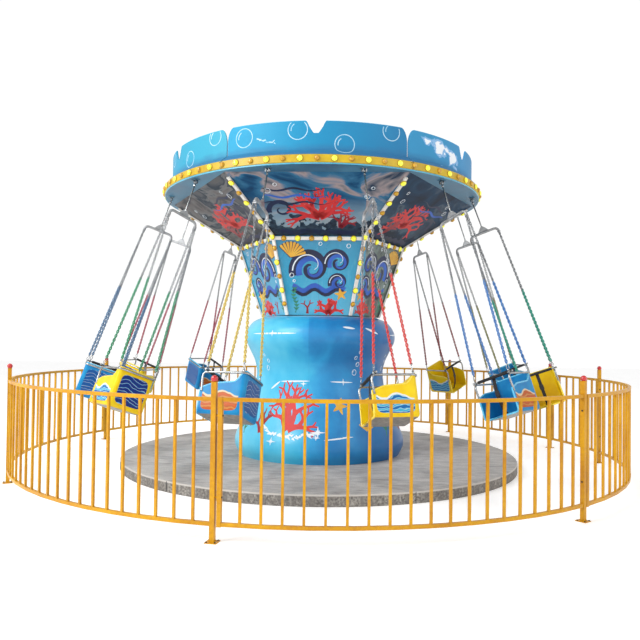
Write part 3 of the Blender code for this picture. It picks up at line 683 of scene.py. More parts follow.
CAMERA_DISTANCE = 8.726
CAMERA_HEIGHT = 1.544
CAMERA_AZIMUTH = radians(2)
CAMERA_PITCH = 0.019
CAMERA_ROLL = 0.0119
CAMERA_YAW = 0.0005
FRAME_PIXELS = 640
FOCAL_PIXELS = 650.78
SHIFT_PIXELS = 11.69
SENSOR = 36.0


def build_camera():
    data = bpy.data.cameras.new("camera")
    data.sensor_width = SENSOR
    data.lens = SENSOR * FOCAL_PIXELS / FRAME_PIXELS
    data.shift_y = SHIFT_PIXELS / FRAME_PIXELS
    camera = linked("camera", data)
    place = around(CAMERA_AZIMUTH) @ at(0, -CAMERA_DISTANCE, CAMERA_HEIGHT) @ around(CAMERA_YAW)
    camera.matrix_world = place @ tilt(pi / 2) @ tilt(CAMERA_PITCH) @ around(CAMERA_ROLL)
    SCENE.camera = camera


# Base, pedestal and canopy shells

PEDESTAL_CURVE = [(z, r) for r, z in reversed(smooth_curve(PEDESTAL_PROFILE, 5))]
CREST_HALF = CREST_RADIUS * pi / 6 - CREST_SLIT / 2
CREST_FOOT_RUN = ((CREST_FOOT + CREST_KERB, CREST_FOOT_RADIUS), (CREST_FOOT + CREST_FLARE, CREST_RADIUS))
CREST_SHOULDER = (15, 30, 45, 58, 69, 78, 84, 90)
CREST_FINE_HALF = 0.12
PLINTH_EDGE = ((0.004, 0.0), (0.0, 0.004), (0.0, 0.106), (0.006, 0.117), (0.014, PLINTH_HEIGHT))
ROOF_RIB = (0.030, 0.012)
UNDER_LINE_RADIUS = 2.050
UNDER_LINE_HALF = 0.004
CHEEK_RADIUS = 0.019
CHEEK_FACES = (0.0125, 0.0215)


def build_base():
    plinth = Shape()
    plinth.turned([(PLINTH_RADIUS - inset, height) for inset, height in PLINTH_EDGE], ROUND_SIDES)
    piece("plinth_dressing", plinth, STONE, "root", "plinth_stone", replaces=["base_plinth"])
    joints = Shape()
    for index in range(12):
        place = around(radians(-6 + 30 * index)) @ at(0, -PLINTH_RADIUS + 0.0005, PLINTH_HEIGHT / 2)
        joints.block((0.006, 0.004, PLINTH_HEIGHT - 0.012), place)
    piece("plinth_joints", joints, DARK_LINE, "root", "plinth_stone")
    shell = Shape()
    shell.turned([(r, z) for z, r in PEDESTAL_CURVE], SHELL_SIDES)
    piece("pedestal_dressing", shell, PEDESTAL, "root", "pedestal_shell", replaces=["pedestal"], smooth=50)


def crest_radius(height):
    """Radius of a crest board's outer face at a height."""
    return along(CREST_FOOT_RUN, height)


def crest_top(distance):
    """Height of a crest board's edge at a distance from its middle."""
    distance = abs(distance)
    notch_end = NOTCH_HALF_TOP + 0.020
    if distance < notch_end:
        rise = min(1.0, max(0.0, distance - NOTCH_HALF_BOTTOM) / (notch_end - NOTCH_HALF_BOTTOM))
        eased = rise * rise * (3 - 2 * rise) if rise > 0.5 else rise * (1.1 - 0.2 * rise)
        return CREST_TOP - NOTCH_DEPTH * (1 - min(1.0, eased))
    from_end = CREST_HALF - distance
    if from_end < CREST_SHOULDER_WIDTH:
        reach = 1 - max(0.0, from_end) / CREST_SHOULDER_WIDTH
        return CREST_TOP - CREST_SHOULDER_DROP * (1 - sqrt(max(0.0, 1 - reach**2)))
    return CREST_TOP


def crest_board(shape):
    """One crest board, centred on the front, with both faces and its edge."""
    soft = 0.002
    straight_end = CREST_HALF - CREST_SHOULDER_WIDTH
    distances = [CREST_FINE_HALF * share for share in shares(10)]
    distances += [CREST_FINE_HALF + (straight_end - CREST_FINE_HALF) * share for share in shares(14)[1:]]
    distances += [CREST_HALF - CREST_SHOULDER_WIDTH * (1 - sin(radians(a))) for a in CREST_SHOULDER]
    flare_top = CREST_FOOT + CREST_FLARE
    rows = []
    for distance in [-d for d in reversed(distances[1:])] + distances:
        turn = around(distance / CREST_RADIUS)
        top = crest_top(distance)
        heights = [CREST_FOOT, CREST_FOOT + CREST_KERB, CREST_FOOT + CREST_FLARE * 0.55]
        heights += [flare_top + (top - flare_top) * share for share in shares(3)[:-1]]
        outer = [(crest_radius(z), z) for z in heights]
        inner = [(r - CREST_THICKNESS, z) for r, z in reversed(outer)]
        inner_face = CREST_RADIUS - CREST_THICKNESS
        outer += [(CREST_RADIUS, top - soft), (CREST_RADIUS - soft, top)]
        inner = [(inner_face + soft, top), (inner_face, top - soft)] + inner
        rows.append([turn @ Vector((0, -r, z)) for r, z in outer + inner])
    shape.grid(rows, caps=True)


def build_crest():
    board = shared("crest_board", crest_board)
    for index in range(6):
        place = around(radians(60 * index))
        node = [f"crest_{index + 1}"]
        piece(f"crest_board_{index + 1}", board, CRESTS[index % 3], "rotor", "crest_shell", place, node, 40)


def build_rim():
    soft = 0.006
    inner = RIM_RADIUS - RIM_THICKNESS
    profile = (
        (inner, RIM_BOTTOM), (RIM_RADIUS - soft, RIM_BOTTOM), (RIM_RADIUS, RIM_BOTTOM + 0.005),
        (RIM_RADIUS, RIM_TOP - 0.005), (RIM_RADIUS - soft, RIM_TOP), (inner, RIM_TOP),
    )
    rim, joints, screws = Shape(), Shape(), Shape()
    rim.band(profile)
    piece("rim_dressing", rim, RIM, "rotor", "rim_yellow", replaces=["rim_band"], smooth=50)
    middle, half = (RIM_TOP + RIM_BOTTOM) / 2, (RIM_TOP - RIM_BOTTOM) / 2
    for index in range(6):
        turn = around(radians(60 * index + 30))
        joints.block((0.009, 0.004, 2 * half - 0.004), turn @ at(0, -RIM_RADIUS, middle))
        for side, level in CORNERS:
            height = middle + level * (half - 0.014)
            spot = turn @ around(side * 0.009) @ facing(Vector((0, -RIM_RADIUS, height)), (0, -1, 0))
            screws.bolt(spot, *RIM_SCREW)
    piece("rim_joints", joints, DARK_LINE, "rotor", "rim_yellow")
    piece("rim_screws", screws, BOLT, "rotor", "rim_yellow")


def build_clevises():
    """Bright cheeks, nuts and bolts at the twelve pins, and the light line under the rim."""
    cheeks = Shape()
    foot = DECK_UNDERSIDE - 0.0065
    outline = [(CHEEK_RADIUS * cos(a), PIVOT_HEIGHT + CHEEK_RADIUS * sin(a)) for a in
               [pi * (1 + share) for share in shares(10)]]
    outline += [(CHEEK_RADIUS, foot), (-CHEEK_RADIUS, foot)]
    for index in range(12):
        turn = around(chair_angle(index)) @ at(0, -PIVOT_RADIUS, 0)
        for side in (-1, 1):
            rows = [[turn @ Vector((side * x, y, z)) for y, z in outline[::side]] for x in CHEEK_FACES]
            cheeks.grid(rows, caps=True)
            nut = turn @ at(side * CHEEK_FACES[1], 0, PIVOT_HEIGHT) @ tilt(side * pi / 2, "Y")
            cheeks.bolt(nut, *PIN_NUT)
        for x, y in CORNERS:
            spot = turn @ at(x * 0.030, y * 0.025, DECK_UNDERSIDE - 0.0055) @ tilt(pi)
            cheeks.bolt(spot, *DECK_BOLT)
    piece("clevis_cheeks", cheeks, CHROME, "rotor", "deck_paint")
    line = Shape()
    inside, outside = UNDER_LINE_RADIUS - UNDER_LINE_HALF, UNDER_LINE_RADIUS + UNDER_LINE_HALF
    low, high = DECK_UNDERSIDE - 0.001, RIM_BOTTOM - 0.001
    line.band(((inside, low), (outside, low), (outside, high), (inside, high)))
    piece("rim_under_line", line, UNDER_LINE, "rotor", "deck_paint")


def build_roof():
    """Roof shell with its hub, ribs down its slope and rows of bolts."""
    roof, ribs, heads = Shape(), Shape(), Shape()
    profile = (
        (ROOF_RADIUS, RIM_BOTTOM + 0.001), (ROOF_RADIUS, ROOF_EDGE_TOP - 0.012),
        (ROOF_RADIUS - 0.012, ROOF_EDGE_TOP), (HUB_RADIUS + 0.03, ROOF_PEAK - 0.003),
        (HUB_RADIUS + 0.008, ROOF_PEAK + 0.002),
        (HUB_RADIUS, ROOF_PEAK + 0.010), (HUB_RADIUS, HUB_TOP - 0.016), (HUB_RADIUS - 0.016, HUB_TOP - 0.002),
        (HUB_RADIUS * 0.5, HUB_TOP),
    )
    roof.turned(profile, SHELL_SIDES)
    piece("roof_dressing", roof, ROOF, "rotor", "roof_shell", replaces=["roof_cone"], smooth=30)
    slope = atan2(ROOF_PEAK - ROOF_EDGE_TOP, ROOF_RADIUS - HUB_RADIUS)
    length = (ROOF_RADIUS - HUB_RADIUS) / cos(slope) - 0.06
    middle = at(0, -(ROOF_RADIUS + HUB_RADIUS) / 2, (ROOF_EDGE_TOP + ROOF_PEAK) / 2 + 0.003)
    for index in range(12):
        turn = around(radians(30 * index + 15))
        lean = turn @ middle @ tilt(slope)
        ribs.block((ROOF_RIB[0], length, ROOF_RIB[1]), lean, 0.003)
        for share in (-0.46, -0.2, 0.06, 0.32):
            heads.bolt(lean @ at(0.032, share * length, -0.002), *ROOF_BOLT)
        heads.bolt(turn @ at(0, -HUB_RADIUS * 0.72, HUB_TOP - 0.006), *HUB_BOLT)
    piece("roof_ribs", ribs, ROOF, "rotor", "roof_shell")
    piece("roof_bolts", heads, BOLT, "rotor", "roof_shell")


# Lamps

LAMP_CAP = ((0.84, 0.003), (1.0, 0.006), (0.97, 0.013), (0.74, 0.021), (0.37, 0.026))
LAMP_RIDGE = 0.05
RIM_LAMPS = (0.0265, 0.0315)
STRIP_LAMPS = (0.0285, 0.0325)


def lamp(shapes, bright, sizes, place):
    """A ridged lamp cap in its collar, its back at the frame's origin and its axis along z."""
    caps, collars = shapes[bright], shapes[2]
    size = sizes[bright]
    rows = []
    for share, height in LAMP_CAP:
        ring = enumerate(circle(16, size * share))
        ridged = [(x * (1 - LAMP_RIDGE * (i % 2)), y * (1 - LAMP_RIDGE * (i % 2))) for i, (x, y) in ring]
        rows.append([place @ Vector((x, y, height)) for x, y in ridged])
    caps.grid(rows, caps=True)
    collars.bolt(place, size * 1.16, size * 1.02, 0.003, 0.006, -0.001, 14)


def build_lamps():
    shapes = Shape(), Shape(), Shape()
    for index in range(72):
        turn = around(radians(0.5 + 5 * index))
        spot = facing(Vector((0, -RIM_RADIUS, (RIM_BOTTOM + RIM_TOP) / 2)), (0, -1, 0))
        lamp(shapes, index % 2, RIM_LAMPS, turn @ spot)
    bend = Vector((0, -TOWER_TOP_RADIUS, TOWER_TOP))
    low = Vector((0, -TOWER_BOTTOM_RADIUS, TOWER_BOTTOM))
    rim = Vector((0, -FUNNEL_RADIUS, DECK_UNDERSIDE))
    out_tower = Vector((0, low.z - bend.z, bend.y - low.y)).normalized()
    out_funnel = Vector((0, bend.z - rim.z, rim.y - bend.y)).normalized()
    slope = (TOWER_TOP_RADIUS - TOWER_BOTTOM_RADIUS) * cos(pi / 6)
    rise = TOWER_TOP - TOWER_BOTTOM
    out_face = Vector((0, -rise, -slope)).normalized()
    apothem = TOWER_TOP_RADIUS * cos(pi / 6)
    back = Vector((0, -apothem + TOP_STRIP_DROP * slope / rise, TOWER_TOP - TOP_STRIP_DROP))
    face = STRIP_DEPTH + 0.0005
    for index in range(6):
        corner = around(radians(60 * index + 30))
        for i in range(5):
            spot = bend.lerp(low, 0.15 + 0.175 * i) + out_tower * face
            lamp(shapes, i % 2, STRIP_LAMPS, corner @ facing(spot, out_tower))
        for i in range(6):
            spot = bend.lerp(rim, 0.11 + (STRIP_FUNNEL_END - 0.18) * i / 5) + out_funnel * face
            lamp(shapes, i % 2, STRIP_LAMPS, corner @ facing(spot, out_funnel))
        spot = bend + (out_tower + out_funnel).normalized() * (face + 0.004)
        lamp(shapes, 1, STRIP_LAMPS, corner @ facing(spot, out_tower))
        turn = around(radians(60 * index))
        for i in range(6):
            across = Vector((TOWER_TOP_RADIUS * ((i + 0.5) / 6 - 0.5) * 0.92, 0, 0))
            lamp(shapes, i % 2, STRIP_LAMPS, turn @ facing(back + across + out_face * face, out_face))
    amber, bright, collars = shapes
    piece("lamp_collars", collars, COLLAR, "rotor", "rim_yellow")
    piece("lamps_bright", bright, BRIGHT_LAMP, "rotor", "rim_yellow", smooth=20)
    piece("lamps_amber", amber, AMBER_LAMP, "rotor", "rim_yellow", smooth=20)


# Painted motifs: strokes of (u, v, half width) carried onto a surface

INK_DEPTH = 0.0003
TOWER_LOW = (TOWER_BOTTOM_RADIUS, TOWER_BOTTOM)
TOWER_HIGH = (TOWER_TOP_RADIUS, TOWER_TOP)
FUNNEL_LOW = (TOWER_TOP_RADIUS, TOWER_TOP + 0.0003)
FUNNEL_HIGH = (FUNNEL_RADIUS, DECK_UNDERSIDE)
# Shares of a shell rib's length and of its half width
RIB = ((0.0, 0.12), (0.25, 0.35), (0.5, 0.6), (0.75, 0.85), (0.9, 1.0), (0.97, 0.9), (1.0, 0.5))
# Angles of a sparkle's rays and shares of its size
RAYS = ((0, 1.0), (90, 0.8), (180, 1.0), (270, 0.8), (45, 0.4), (135, 0.4), (225, 0.4), (315, 0.4))


def ink(shape, strokes, carry, lift=0.0004):
    """Add strokes as thin closed films; carry takes u, v and a height above the surface to a point."""
    for number, stroke in enumerate(strokes):
        rise = lift + 0.00003 * (number % 12)
        rows = []
        for i, (u, v, half) in enumerate(stroke):
            before = stroke[max(0, i - 1)]
            after = stroke[min(len(stroke) - 1, i + 1)]
            du, dv = after[0] - before[0], after[1] - before[1]
            size = hypot(du, dv) or 1.0
            nu, nv = -dv / size * half, du / size * half
            top = [carry(u + nu * s, v + nv * s, rise) for s in (-1, -0.33, 0.33, 1)]
            bottom = [carry(u + nu * s, v + nv * s, -INK_DEPTH) for s in (1, -1)]
            rows.append(top + bottom)
        shape.grid(rows, caps=True)


def off(u, v, angle, reach):
    """The place at a distance from another one, at an angle in degrees."""
    return u + reach * cos(radians(angle)), v + reach * sin(radians(angle))


def arc(u, v, radius, half, start=0.0, end=360.0, steps=30):
    return [(*off(u, v, start + (end - start) * s, radius), half) for s in shares(steps)]


def disc(u, v, radius):
    """A filled circle, as one stroke whose width follows the circle."""
    angles = [radians(4 + 172 * s) for s in shares(6)]
    return [(u, v - radius * cos(a), radius * sin(a)) for a in angles]


def arm(u, v, angle, length, half, steps, bend=0.0):
    """A tapering stroke that leaves a point at an angle in degrees."""
    return [(*off(u, v, angle + bend * s, length * s), half * (1 - s) ** 0.7 + 0.0012) for s in shares(steps)]


def starfish(u, v, size, turn):
    return [arm(u, v, turn + 72 * i, size, size * 0.30, 6) for i in range(5)]


def sparkle(u, v, size):
    rays = [arm(u, v, angle, size * share, size * 0.10, 3) for angle, share in RAYS]
    return rays + [disc(u, v, size * 0.13)]


def streak(u, v, length, half, drop):
    """A long highlight that is thickest at its middle."""
    return [(u + length * (s - 0.5), v + drop * s, half * sin(pi * s) ** 0.6 + 0.001) for s in shares(10)]


def coral(u, v, angle, length, half, depth, rng):
    """A branching coral, each branch a tapering stroke with a round end."""
    bend = rng.uniform(-18, 18)
    stroke = [(*off(u, v, angle + bend * s, length * s), half * (1 - 0.35 * s)) for s in shares(5)]
    tip = off(u, v, angle + bend, length)
    strokes = [stroke, disc(*tip, half * 0.72)]
    if depth:
        for side in (-1, 1):
            spread = angle + bend + side * rng.uniform(20, 42)
            strokes += coral(*tip, spread, length * rng.uniform(0.62, 0.84), half * 0.66, depth - 1, rng)
    return strokes


def kelp(u, v, height, sway, half):
    """A waving frond with leaves on both sides."""
    stem, leaves = [], []
    for i, share in enumerate(shares(16)):
        x, y = u + sway * sin(share * 7.0), v + height * share
        stem.append((x, y, half * 0.35 * (1 - 0.7 * share) + 0.001))
        if i in range(2, 16, 2):
            for angle, bend in ((52, -15.6), (128, 15.6)):
                leaves.append(arm(x, y, angle, height * 0.13, half, 4, bend))
    return [stem] + leaves


def curl(u, v, size, half, turns, start, mirror):
    """A breaking wave's curl: a spiral that winds in."""
    stroke = []
    for share in shares(32):
        x, y = off(0, 0, start - 360 * turns * share, size * (1 - 0.82 * share))
        stroke.append((u + mirror * x, v + y, half * (1 - 0.85 * share) + 0.001))
    return stroke


def shell_fan(u, v, size, turn):
    """A scallop: ribs that fan out from the hinge, widening towards their round ends."""
    angles = range(turn - 56, turn + 57, 14)
    return [[(*off(u, v, angle, size * s), size * 0.085 * w) for s, w in RIB] for angle in angles]


def bubble(u, v, size, half=0.0045):
    """A ring with one long highlight inside it, up on its left."""
    return [arc(u, v, size, half), arc(u, v, size * 0.68, half * 1.1, 120, 190, 8)]


def pedestal_radius(height):
    """Radius of the pedestal at a height."""
    return along(PEDESTAL_CURVE, height)


def on_pedestal(u, v, lift):
    """u is the distance round a circle of one metre, v the height."""
    slope = (pedestal_radius(v + 0.004) - pedestal_radius(v - 0.004)) / 0.008
    normal = Vector((1.0, -slope)).normalized()
    reach = pedestal_radius(v) + normal.x * lift
    return Vector((reach * sin(u), -reach * cos(u), v + normal.y * lift))


def on_crest(board):
    """u is the distance from the board's middle, v the height."""
    def carry(u, v, lift):
        angle = board + u / CREST_RADIUS
        radius = crest_radius(v) + lift
        return Vector((radius * sin(angle), -radius * cos(angle), v))
    return carry


def on_face(index, low, high):
    """A side of the tower or funnel: u across it, v up it, from its lower edge."""
    bottom, top = (Vector((0, -radius * cos(pi / 6), height)) for radius, height in (low, high))
    rise = (top - bottom).normalized()
    normal = Vector((1, 0, 0)).cross(rise)
    turn = around(radians(60 * index))

    def carry(u, v, lift):
        return turn @ (bottom + Vector((u, 0, 0)) + rise * v + normal * lift)
    return carry


def cut_to_crest(stroke):
    """The parts of a stroke that lie on a crest board."""
    runs = [[]]
    for u, v, half in stroke:
        if v < crest_top(u) - half - 0.004 and abs(u) < CREST_HALF - 0.01:
            runs[-1].append((u, v, half))
        else:
            runs.append([])
    return [run for run in runs if len(run) > 1]


# Bubbles on a crest board: degrees from its middle, height and radius
FRONT_BUBBLES = ((-23.5, 3.747, 0.102), (-5.7, 3.790, 0.104), (8.8, 3.638, 0.104), (24.0, 3.822, 0.100))
SIDE_BUBBLES = ((24.6, 3.820, 0.090), (10.5, 3.668, 0.092), (-7.0, 3.800, 0.084), (-21.0, 3.690, 0.100))
# Two trails that rise up the pedestal: angle from the group's middle, height and radius
PEDESTAL_BUBBLES = (
    (0.56, 1.20, 0.034), (0.60, 1.30, 0.026), (0.55, 1.38, 0.020), (0.59, 1.45, 0.014),
    (-0.84, 1.24, 0.030), (-0.80, 1.33, 0.022), (-0.85, 1.40, 0.015),
)
# Angle, height, length, half width and drop
PEDESTAL_STREAKS = (
    (-0.62, 1.665, 0.72, 0.0085, 0.006), (0.40, 1.752, 0.16, 0.012, -0.018),
    (0.74, 1.745, 0.20, 0.014, -0.07), (-0.34, 1.080, 0.46, 0.009, 0.014),
    (0.36, 1.088, 0.34, 0.007, -0.010), (0.24, 0.415, 0.30, 0.007, 0.030), (-0.66, 0.980, 0.16, 0.012, 0.10),
)
# Angle, height and size
PEDESTAL_SPARKLES = (
    (-0.60, 1.672, 0.050), (-0.20, 1.060, 0.046), (0.38, 1.084, 0.050), (-0.52, 0.375, 0.060),
    (0.02, 0.500, 0.085), (0.36, 0.445, 0.062), (0.0, 0.442, 0.040),
)
# Place across a side, place up it, and size
TOWER_CURLS = ((-0.09, 0.585, 0.215), (0.235, 0.66, 0.15), (0.245, 0.415, 0.105))
TOWER_BUBBLES = ((-0.33, 0.50, 0.026), (-0.30, 0.43, 0.015), (0.02, 0.885, 0.020), (0.36, 0.86, 0.024))
FUNNEL_BUBBLES = ((-0.56, 0.70, 0.034), (-0.47, 0.79, 0.022), (0.56, 0.62, 0.030), (0.62, 0.74, 0.020))


def crest_motifs(white, rng):
    for index in range(6):
        carry = on_crest(radians(60 * index))
        for degrees, height, size in (FRONT_BUBBLES, (), SIDE_BUBBLES)[index % 3]:
            for stroke in bubble(radians(degrees) * CREST_RADIUS, height, size):
                ink(white, cut_to_crest(stroke), carry)
        if index % 3:
            continue
        for i in range(14):
            u = radians(-19.0 + 0.45 * i) * CREST_RADIUS
            v = 3.722 - 0.005 * i + rng.uniform(-0.010, 0.012)
            ink(white, [arm(u, v, rng.uniform(-70, 40), rng.uniform(0.016, 0.036), 0.006, 3)], carry)


def pedestal_motifs(inks, rng):
    """Three like groups round the pedestal: coral in foam, kelp, a shell, a starfish and glints."""
    for start in (0, tau / 3, tau * 2 / 3):
        bush = []
        for angle, length in ((136, 0.15), (112, 0.20), (86, 0.22), (58, 0.19), (30, 0.13)):
            bush += coral(start - 0.34, 0.52, angle, length, 0.044, 3, rng)
        ink(inks["red"], bush, on_pedestal)
        for share in shares(33):
            u = start - 0.64 + 0.62 * share
            v = 0.505 - 0.060 * sin(pi * share) + rng.uniform(-0.020, 0.020)
            angle = rng.uniform(-60, 40) + 180 * (share < 0.3)
            spray = arm(u, v, angle, rng.uniform(0.030, 0.075), rng.uniform(0.007, 0.015), 4)
            ink(inks["white"], [spray], on_pedestal, 0.0012)
        for angle in (122, 92, 66):
            ink(inks["dark"], coral(start - 0.72, 0.46, angle, 0.12, 0.026, 2, rng), on_pedestal, 0.0007)
        ink(inks["yellow"], starfish(start + 0.30, 0.80, 0.105, 70), on_pedestal)
        ink(inks["green"], kelp(start + 0.92, 0.42, 0.62, 0.035, 0.018), on_pedestal)
        ink(inks["green"], kelp(start + 1.06, 0.42, 0.44, -0.028, 0.015), on_pedestal)
        ink(inks["yellow"], shell_fan(start + 0.62, 0.50, 0.12, 80), on_pedestal)
        for u, *rest in PEDESTAL_STREAKS:
            ink(inks["white"], [streak(start + u, *rest)], on_pedestal)
        for u, v, size in PEDESTAL_SPARKLES:
            ink(inks["white"], sparkle(start + u, v, size), on_pedestal, 0.0008)
        for u, v, size in PEDESTAL_BUBBLES:
            ink(inks["white"], bubble(start + u, v, size, 0.003), on_pedestal)


def tower_motifs(inks, rng):
    """Kelp, rolling waves, shells and starfish on the six tower sides, each the next one's mirror image."""
    for index in range(6):
        carry = on_face(index, TOWER_LOW, TOWER_HIGH)
        side = -1 if index % 2 else 1
        for step, (u, v, size) in enumerate(TOWER_CURLS):
            u *= side
            ink(inks["navy"], [curl(u, v, size, size * 0.34, 1.3, 205, side)], carry, 0.0004 + 0.0001 * step)
            inner = curl(u + side * 0.012, v - 0.016, size * 0.80, size * 0.17, 1.2, 205, side)
            ink(inks["royal"], [inner], carry, 0.0010)
            foam = curl(u, v + 0.010, size * 1.08, size * 0.035, 0.62, 190, side)
            ink(inks["white"], [foam], carry, 0.0013)
        swell = [(side * (-0.40 + 0.04 * i), 0.34 + 0.035 * sin(i * 0.9), 0.030) for i in range(20)]
        ink(inks["royal"], [[p for p in swell if abs(p[0]) < 0.36]], carry)
        ink(inks["navy"], [[(u, v - 0.050, 0.022) for u, v, _ in swell if abs(u) < 0.34]], carry)
        fan = shell_fan(side * -0.34, 0.72, 0.19, 74)
        ink(inks["navy"], [[(u, v, half + 0.010) for u, v, half in rib] for rib in fan], carry, 0.0008)
        ink(inks["yellow"], fan, carry, 0.0014)
        ink(inks["yellow"], starfish(side * 0.27, 0.265, 0.080, 100), carry, 0.0012)
        for angle in (35, 62, 88, 114, 140):
            ink(inks["red"], coral(side * 0.12, 0.02, angle, 0.085, 0.030, 2, rng), carry)
        ink(inks["dark"], coral(side * -0.14, 0.02, 84, 0.075, 0.017, 2, rng), carry)
        ink(inks["green"], kelp(side * -0.29, 0.03, 0.34, 0.02, 0.012), carry)
        for u, v, size in TOWER_BUBBLES:
            ink(inks["white"], bubble(side * u, v, size, 0.0030), carry, 0.0015)


def funnel_motifs(inks, rng):
    """Red coral, dark reefs and dark swells on the six funnel sides, each the next one's mirror image."""
    for index in range(6):
        carry = on_face(index, FUNNEL_LOW, FUNNEL_HIGH)
        side = -1 if index % 2 else 1
        reef = [(side * (-0.46 + 0.046 * i), 0.060 + rng.uniform(-0.012, 0.030), 0.034) for i in range(21)]
        ink(inks["navy"], [reef], carry)
        for angle in (168, 140, 112, 78, 52, 20):
            ink(inks["red"], coral(side * 0.02, 0.30, angle, 0.150, 0.046, 3, rng), carry, 0.0006)
        for angle in (96, 66, 38):
            ink(inks["dark"], coral(side * 0.26, 0.14, angle, 0.10, 0.026, 2, rng), carry, 0.0008)
        for i, tone in enumerate(("navy", "royal", "navy")):
            v = 0.52 + 0.10 * i
            run = [(side * (-0.62 + 0.045 * j), v + 0.020 * sin(j * 0.75 + i), 0.006 + 0.009 * sin(j * 0.22))
                   for j in range(20)]
            ink(inks[tone], [run], carry, 0.0010)
        ink(inks["navy"], [curl(side * -0.42, 0.42, 0.15, 0.032, 1.2, 200, side)], carry, 0.0006)
        for u, v, size in FUNNEL_BUBBLES:
            ink(inks["white"], bubble(side * u, v, size, 0.0028), carry, 0.0014)


def build_motifs():
    """All the printed artwork. One seeded run of chance serves it, in the order of the calls."""
    rng = random.Random(11)
    crest_white = Shape()
    crest_motifs(crest_white, rng)
    piece("crest_bubbles", crest_white, FOAM_INK, "rotor", "crest_shell")
    pedestal_names = ("glints", "coral", "coral_dark", "starfish", "kelp")
    names = ("bubbles", "coral", "coral_dark", "shells", "kelp", "waves_navy", "waves_royal")
    for place, draw, body, slot, places_names in (
        ("pedestal", pedestal_motifs, "root", "pedestal_shell", pedestal_names),
        ("tower", tower_motifs, "rotor", "tower_panel", names),
        ("funnel", funnel_motifs, "rotor", "funnel_panel", names),
    ):
        shapes = {tone: Shape() for tone in INKS}
        draw(shapes, rng)
        for name, (tone, shape) in zip(places_names, shapes.items()):
            if shape.points:
                piece(f"{place}_{name}", shape, INKS[tone], body, slot)
    seams = Shape()
    for index in range(6):
        carry = on_face(index, FUNNEL_LOW, FUNNEL_HIGH)
        for side in (-1, 1):
            edge = [(side * (0.515 + 0.4537 * share), 0.02 + 0.84 * share, 0.006) for share in shares(8)]
            ink(seams, [edge], carry, 0.0020)
        carry = on_face(index, TOWER_LOW, TOWER_HIGH)
        ink(seams, [[(0.002, 0.01 + 0.88 * share, 0.0008) for share in shares(10)]], carry, 0.0008)
    piece("panel_seams", seams, DARK_LINE, "rotor", "strip_aluminium")


# Chairs

LINK_PITCH = 0.0275
LINK_WIRE = 0.0041
LINK_BEND = 0.0100
LINK_STRAIGHT = 0.0100
SLEEVE_START = 0.44
STRAND_RADIUS = 0.0070
STRAND_OFFSET = 0.0086
TWIST_PITCH = 0.096
HOOK_LENGTH = 0.062
HOOK_WIRE = 0.0036
SHACKLE_WIDTH = 0.046
SPREADER_BEND = 0.045
SPREADER_TUBE = 0.0155
EYE_RADIUS = 0.0162
EYE_WIRE = 0.0062
SEAT_TUBE = 0.0105
RIM_ROLL = 0.0095
GUSSET = (
    (-0.076, SPREADER_HEIGHT), (0.076, SPREADER_HEIGHT), (0.030, -0.372),
    (0.018, -0.362), (-0.018, -0.362), (-0.030, -0.372),
)
# Height of the tub's side wall from front to back
WALL = (
    (-0.215, -2.450), (-0.100, -2.405), (0.115, -2.385), (0.165, -2.335), (0.185, -2.287), (0.218, -2.285),
)
TUB_CORNER = 0.040
TUB_FILLET = 0.034
TUB_WALL = 0.013
SIDE_STEPS = 12
LIP_CORNER = 0.028
LIP_HEIGHT = -2.683
LIP_SIDE_TOP = -2.48
# Half of the seat's frame, from the front up and round to the back
FRAME_SIDE = (
    (0.205, -0.197, -2.480), (0.205, -0.207, -2.400), (0.205, -0.212, -2.345), (0.205, -0.205, -2.318),
    (0.205, -0.190, -2.304), (0.205, -0.165, -2.300), (0.205, 0.0, -2.300), (0.205, 0.165, -2.300),
    (0.202, 0.197, -2.300), (0.190, 0.216, -2.300), (0.165, 0.225, -2.300),
)
STRAP = (
    (-0.1575, -2.274), (-0.160, -2.300), (-0.176, -2.400), (-0.168, -2.520), (-0.140, -2.620),
    (-0.105, -2.6755),
)
FOAM_PROFILE = (
    (0.0120, 0.0), (0.0150, 0.003), (0.0158, 0.010), (0.0158, 0.350), (0.0150, 0.357), (0.0120, 0.360),
)
STRAP_HALF = 0.019
# Colour of each chair's chain sleeves, dark and light
SLEEVES = (
    ((206, 176, 60), (238, 214, 110)), ((204, 40, 44), (236, 84, 74)), ((40, 104, 184), (74, 146, 214)),
    ((30, 138, 122), (66, 176, 150)), ((120, 122, 60), (158, 156, 88)), ((132, 30, 38), (168, 52, 56)),
    ((96, 110, 74), (140, 150, 104)), ((96, 110, 74), (150, 156, 108)), ((150, 28, 60), (198, 52, 84)),
    ((150, 30, 62), (200, 60, 92)), ((60, 104, 150), (110, 146, 178)), ((30, 132, 92), (62, 172, 124)),
)


def chain_lines():
    """A frame at the top of each of a chair's four chains, z down along it, and the chain's length."""
    for side, end in CORNERS:
        top, low = (Vector((side * p.x, end * p.y, p.z)) for p in (CHAIN_TOP, CHAIN_FOOT))
        yield facing(top, low - top), (low - top).length


def links(shape):
    """Oval links, each long in z and turned by a quarter from the one before."""
    oval = [(x, 0, z + copysign(LINK_STRAIGHT, z)) for x, z in circle(10, LINK_BEND, 0.5)]
    for line, length in chain_lines():
        for i in range(int(length * SLEEVE_START / LINK_PITCH) + 1):
            place = line @ at(0, 0, LINK_PITCH * (i + 0.3)) @ around(pi / 2 * (i % 2) + 0.35)
            shape.tube([place @ Vector(p) for p in oval], LINK_WIRE, 5, loop=True)


def sleeves(shape):
    """Two strands of plastic, twisted round the lower part of each chain."""
    for line, length in chain_lines():
        start = length * SLEEVE_START
        for strand in (0, 1):
            path = []
            for share in shares(112):
                z = start + (length - HOOK_LENGTH - start) * share
                angle = tau * z / TWIST_PITCH + pi * strand
                path.append(line @ Vector((STRAND_OFFSET * cos(angle), STRAND_OFFSET * sin(angle), z)))
            shape.tube(path, STRAND_RADIUS, 6)


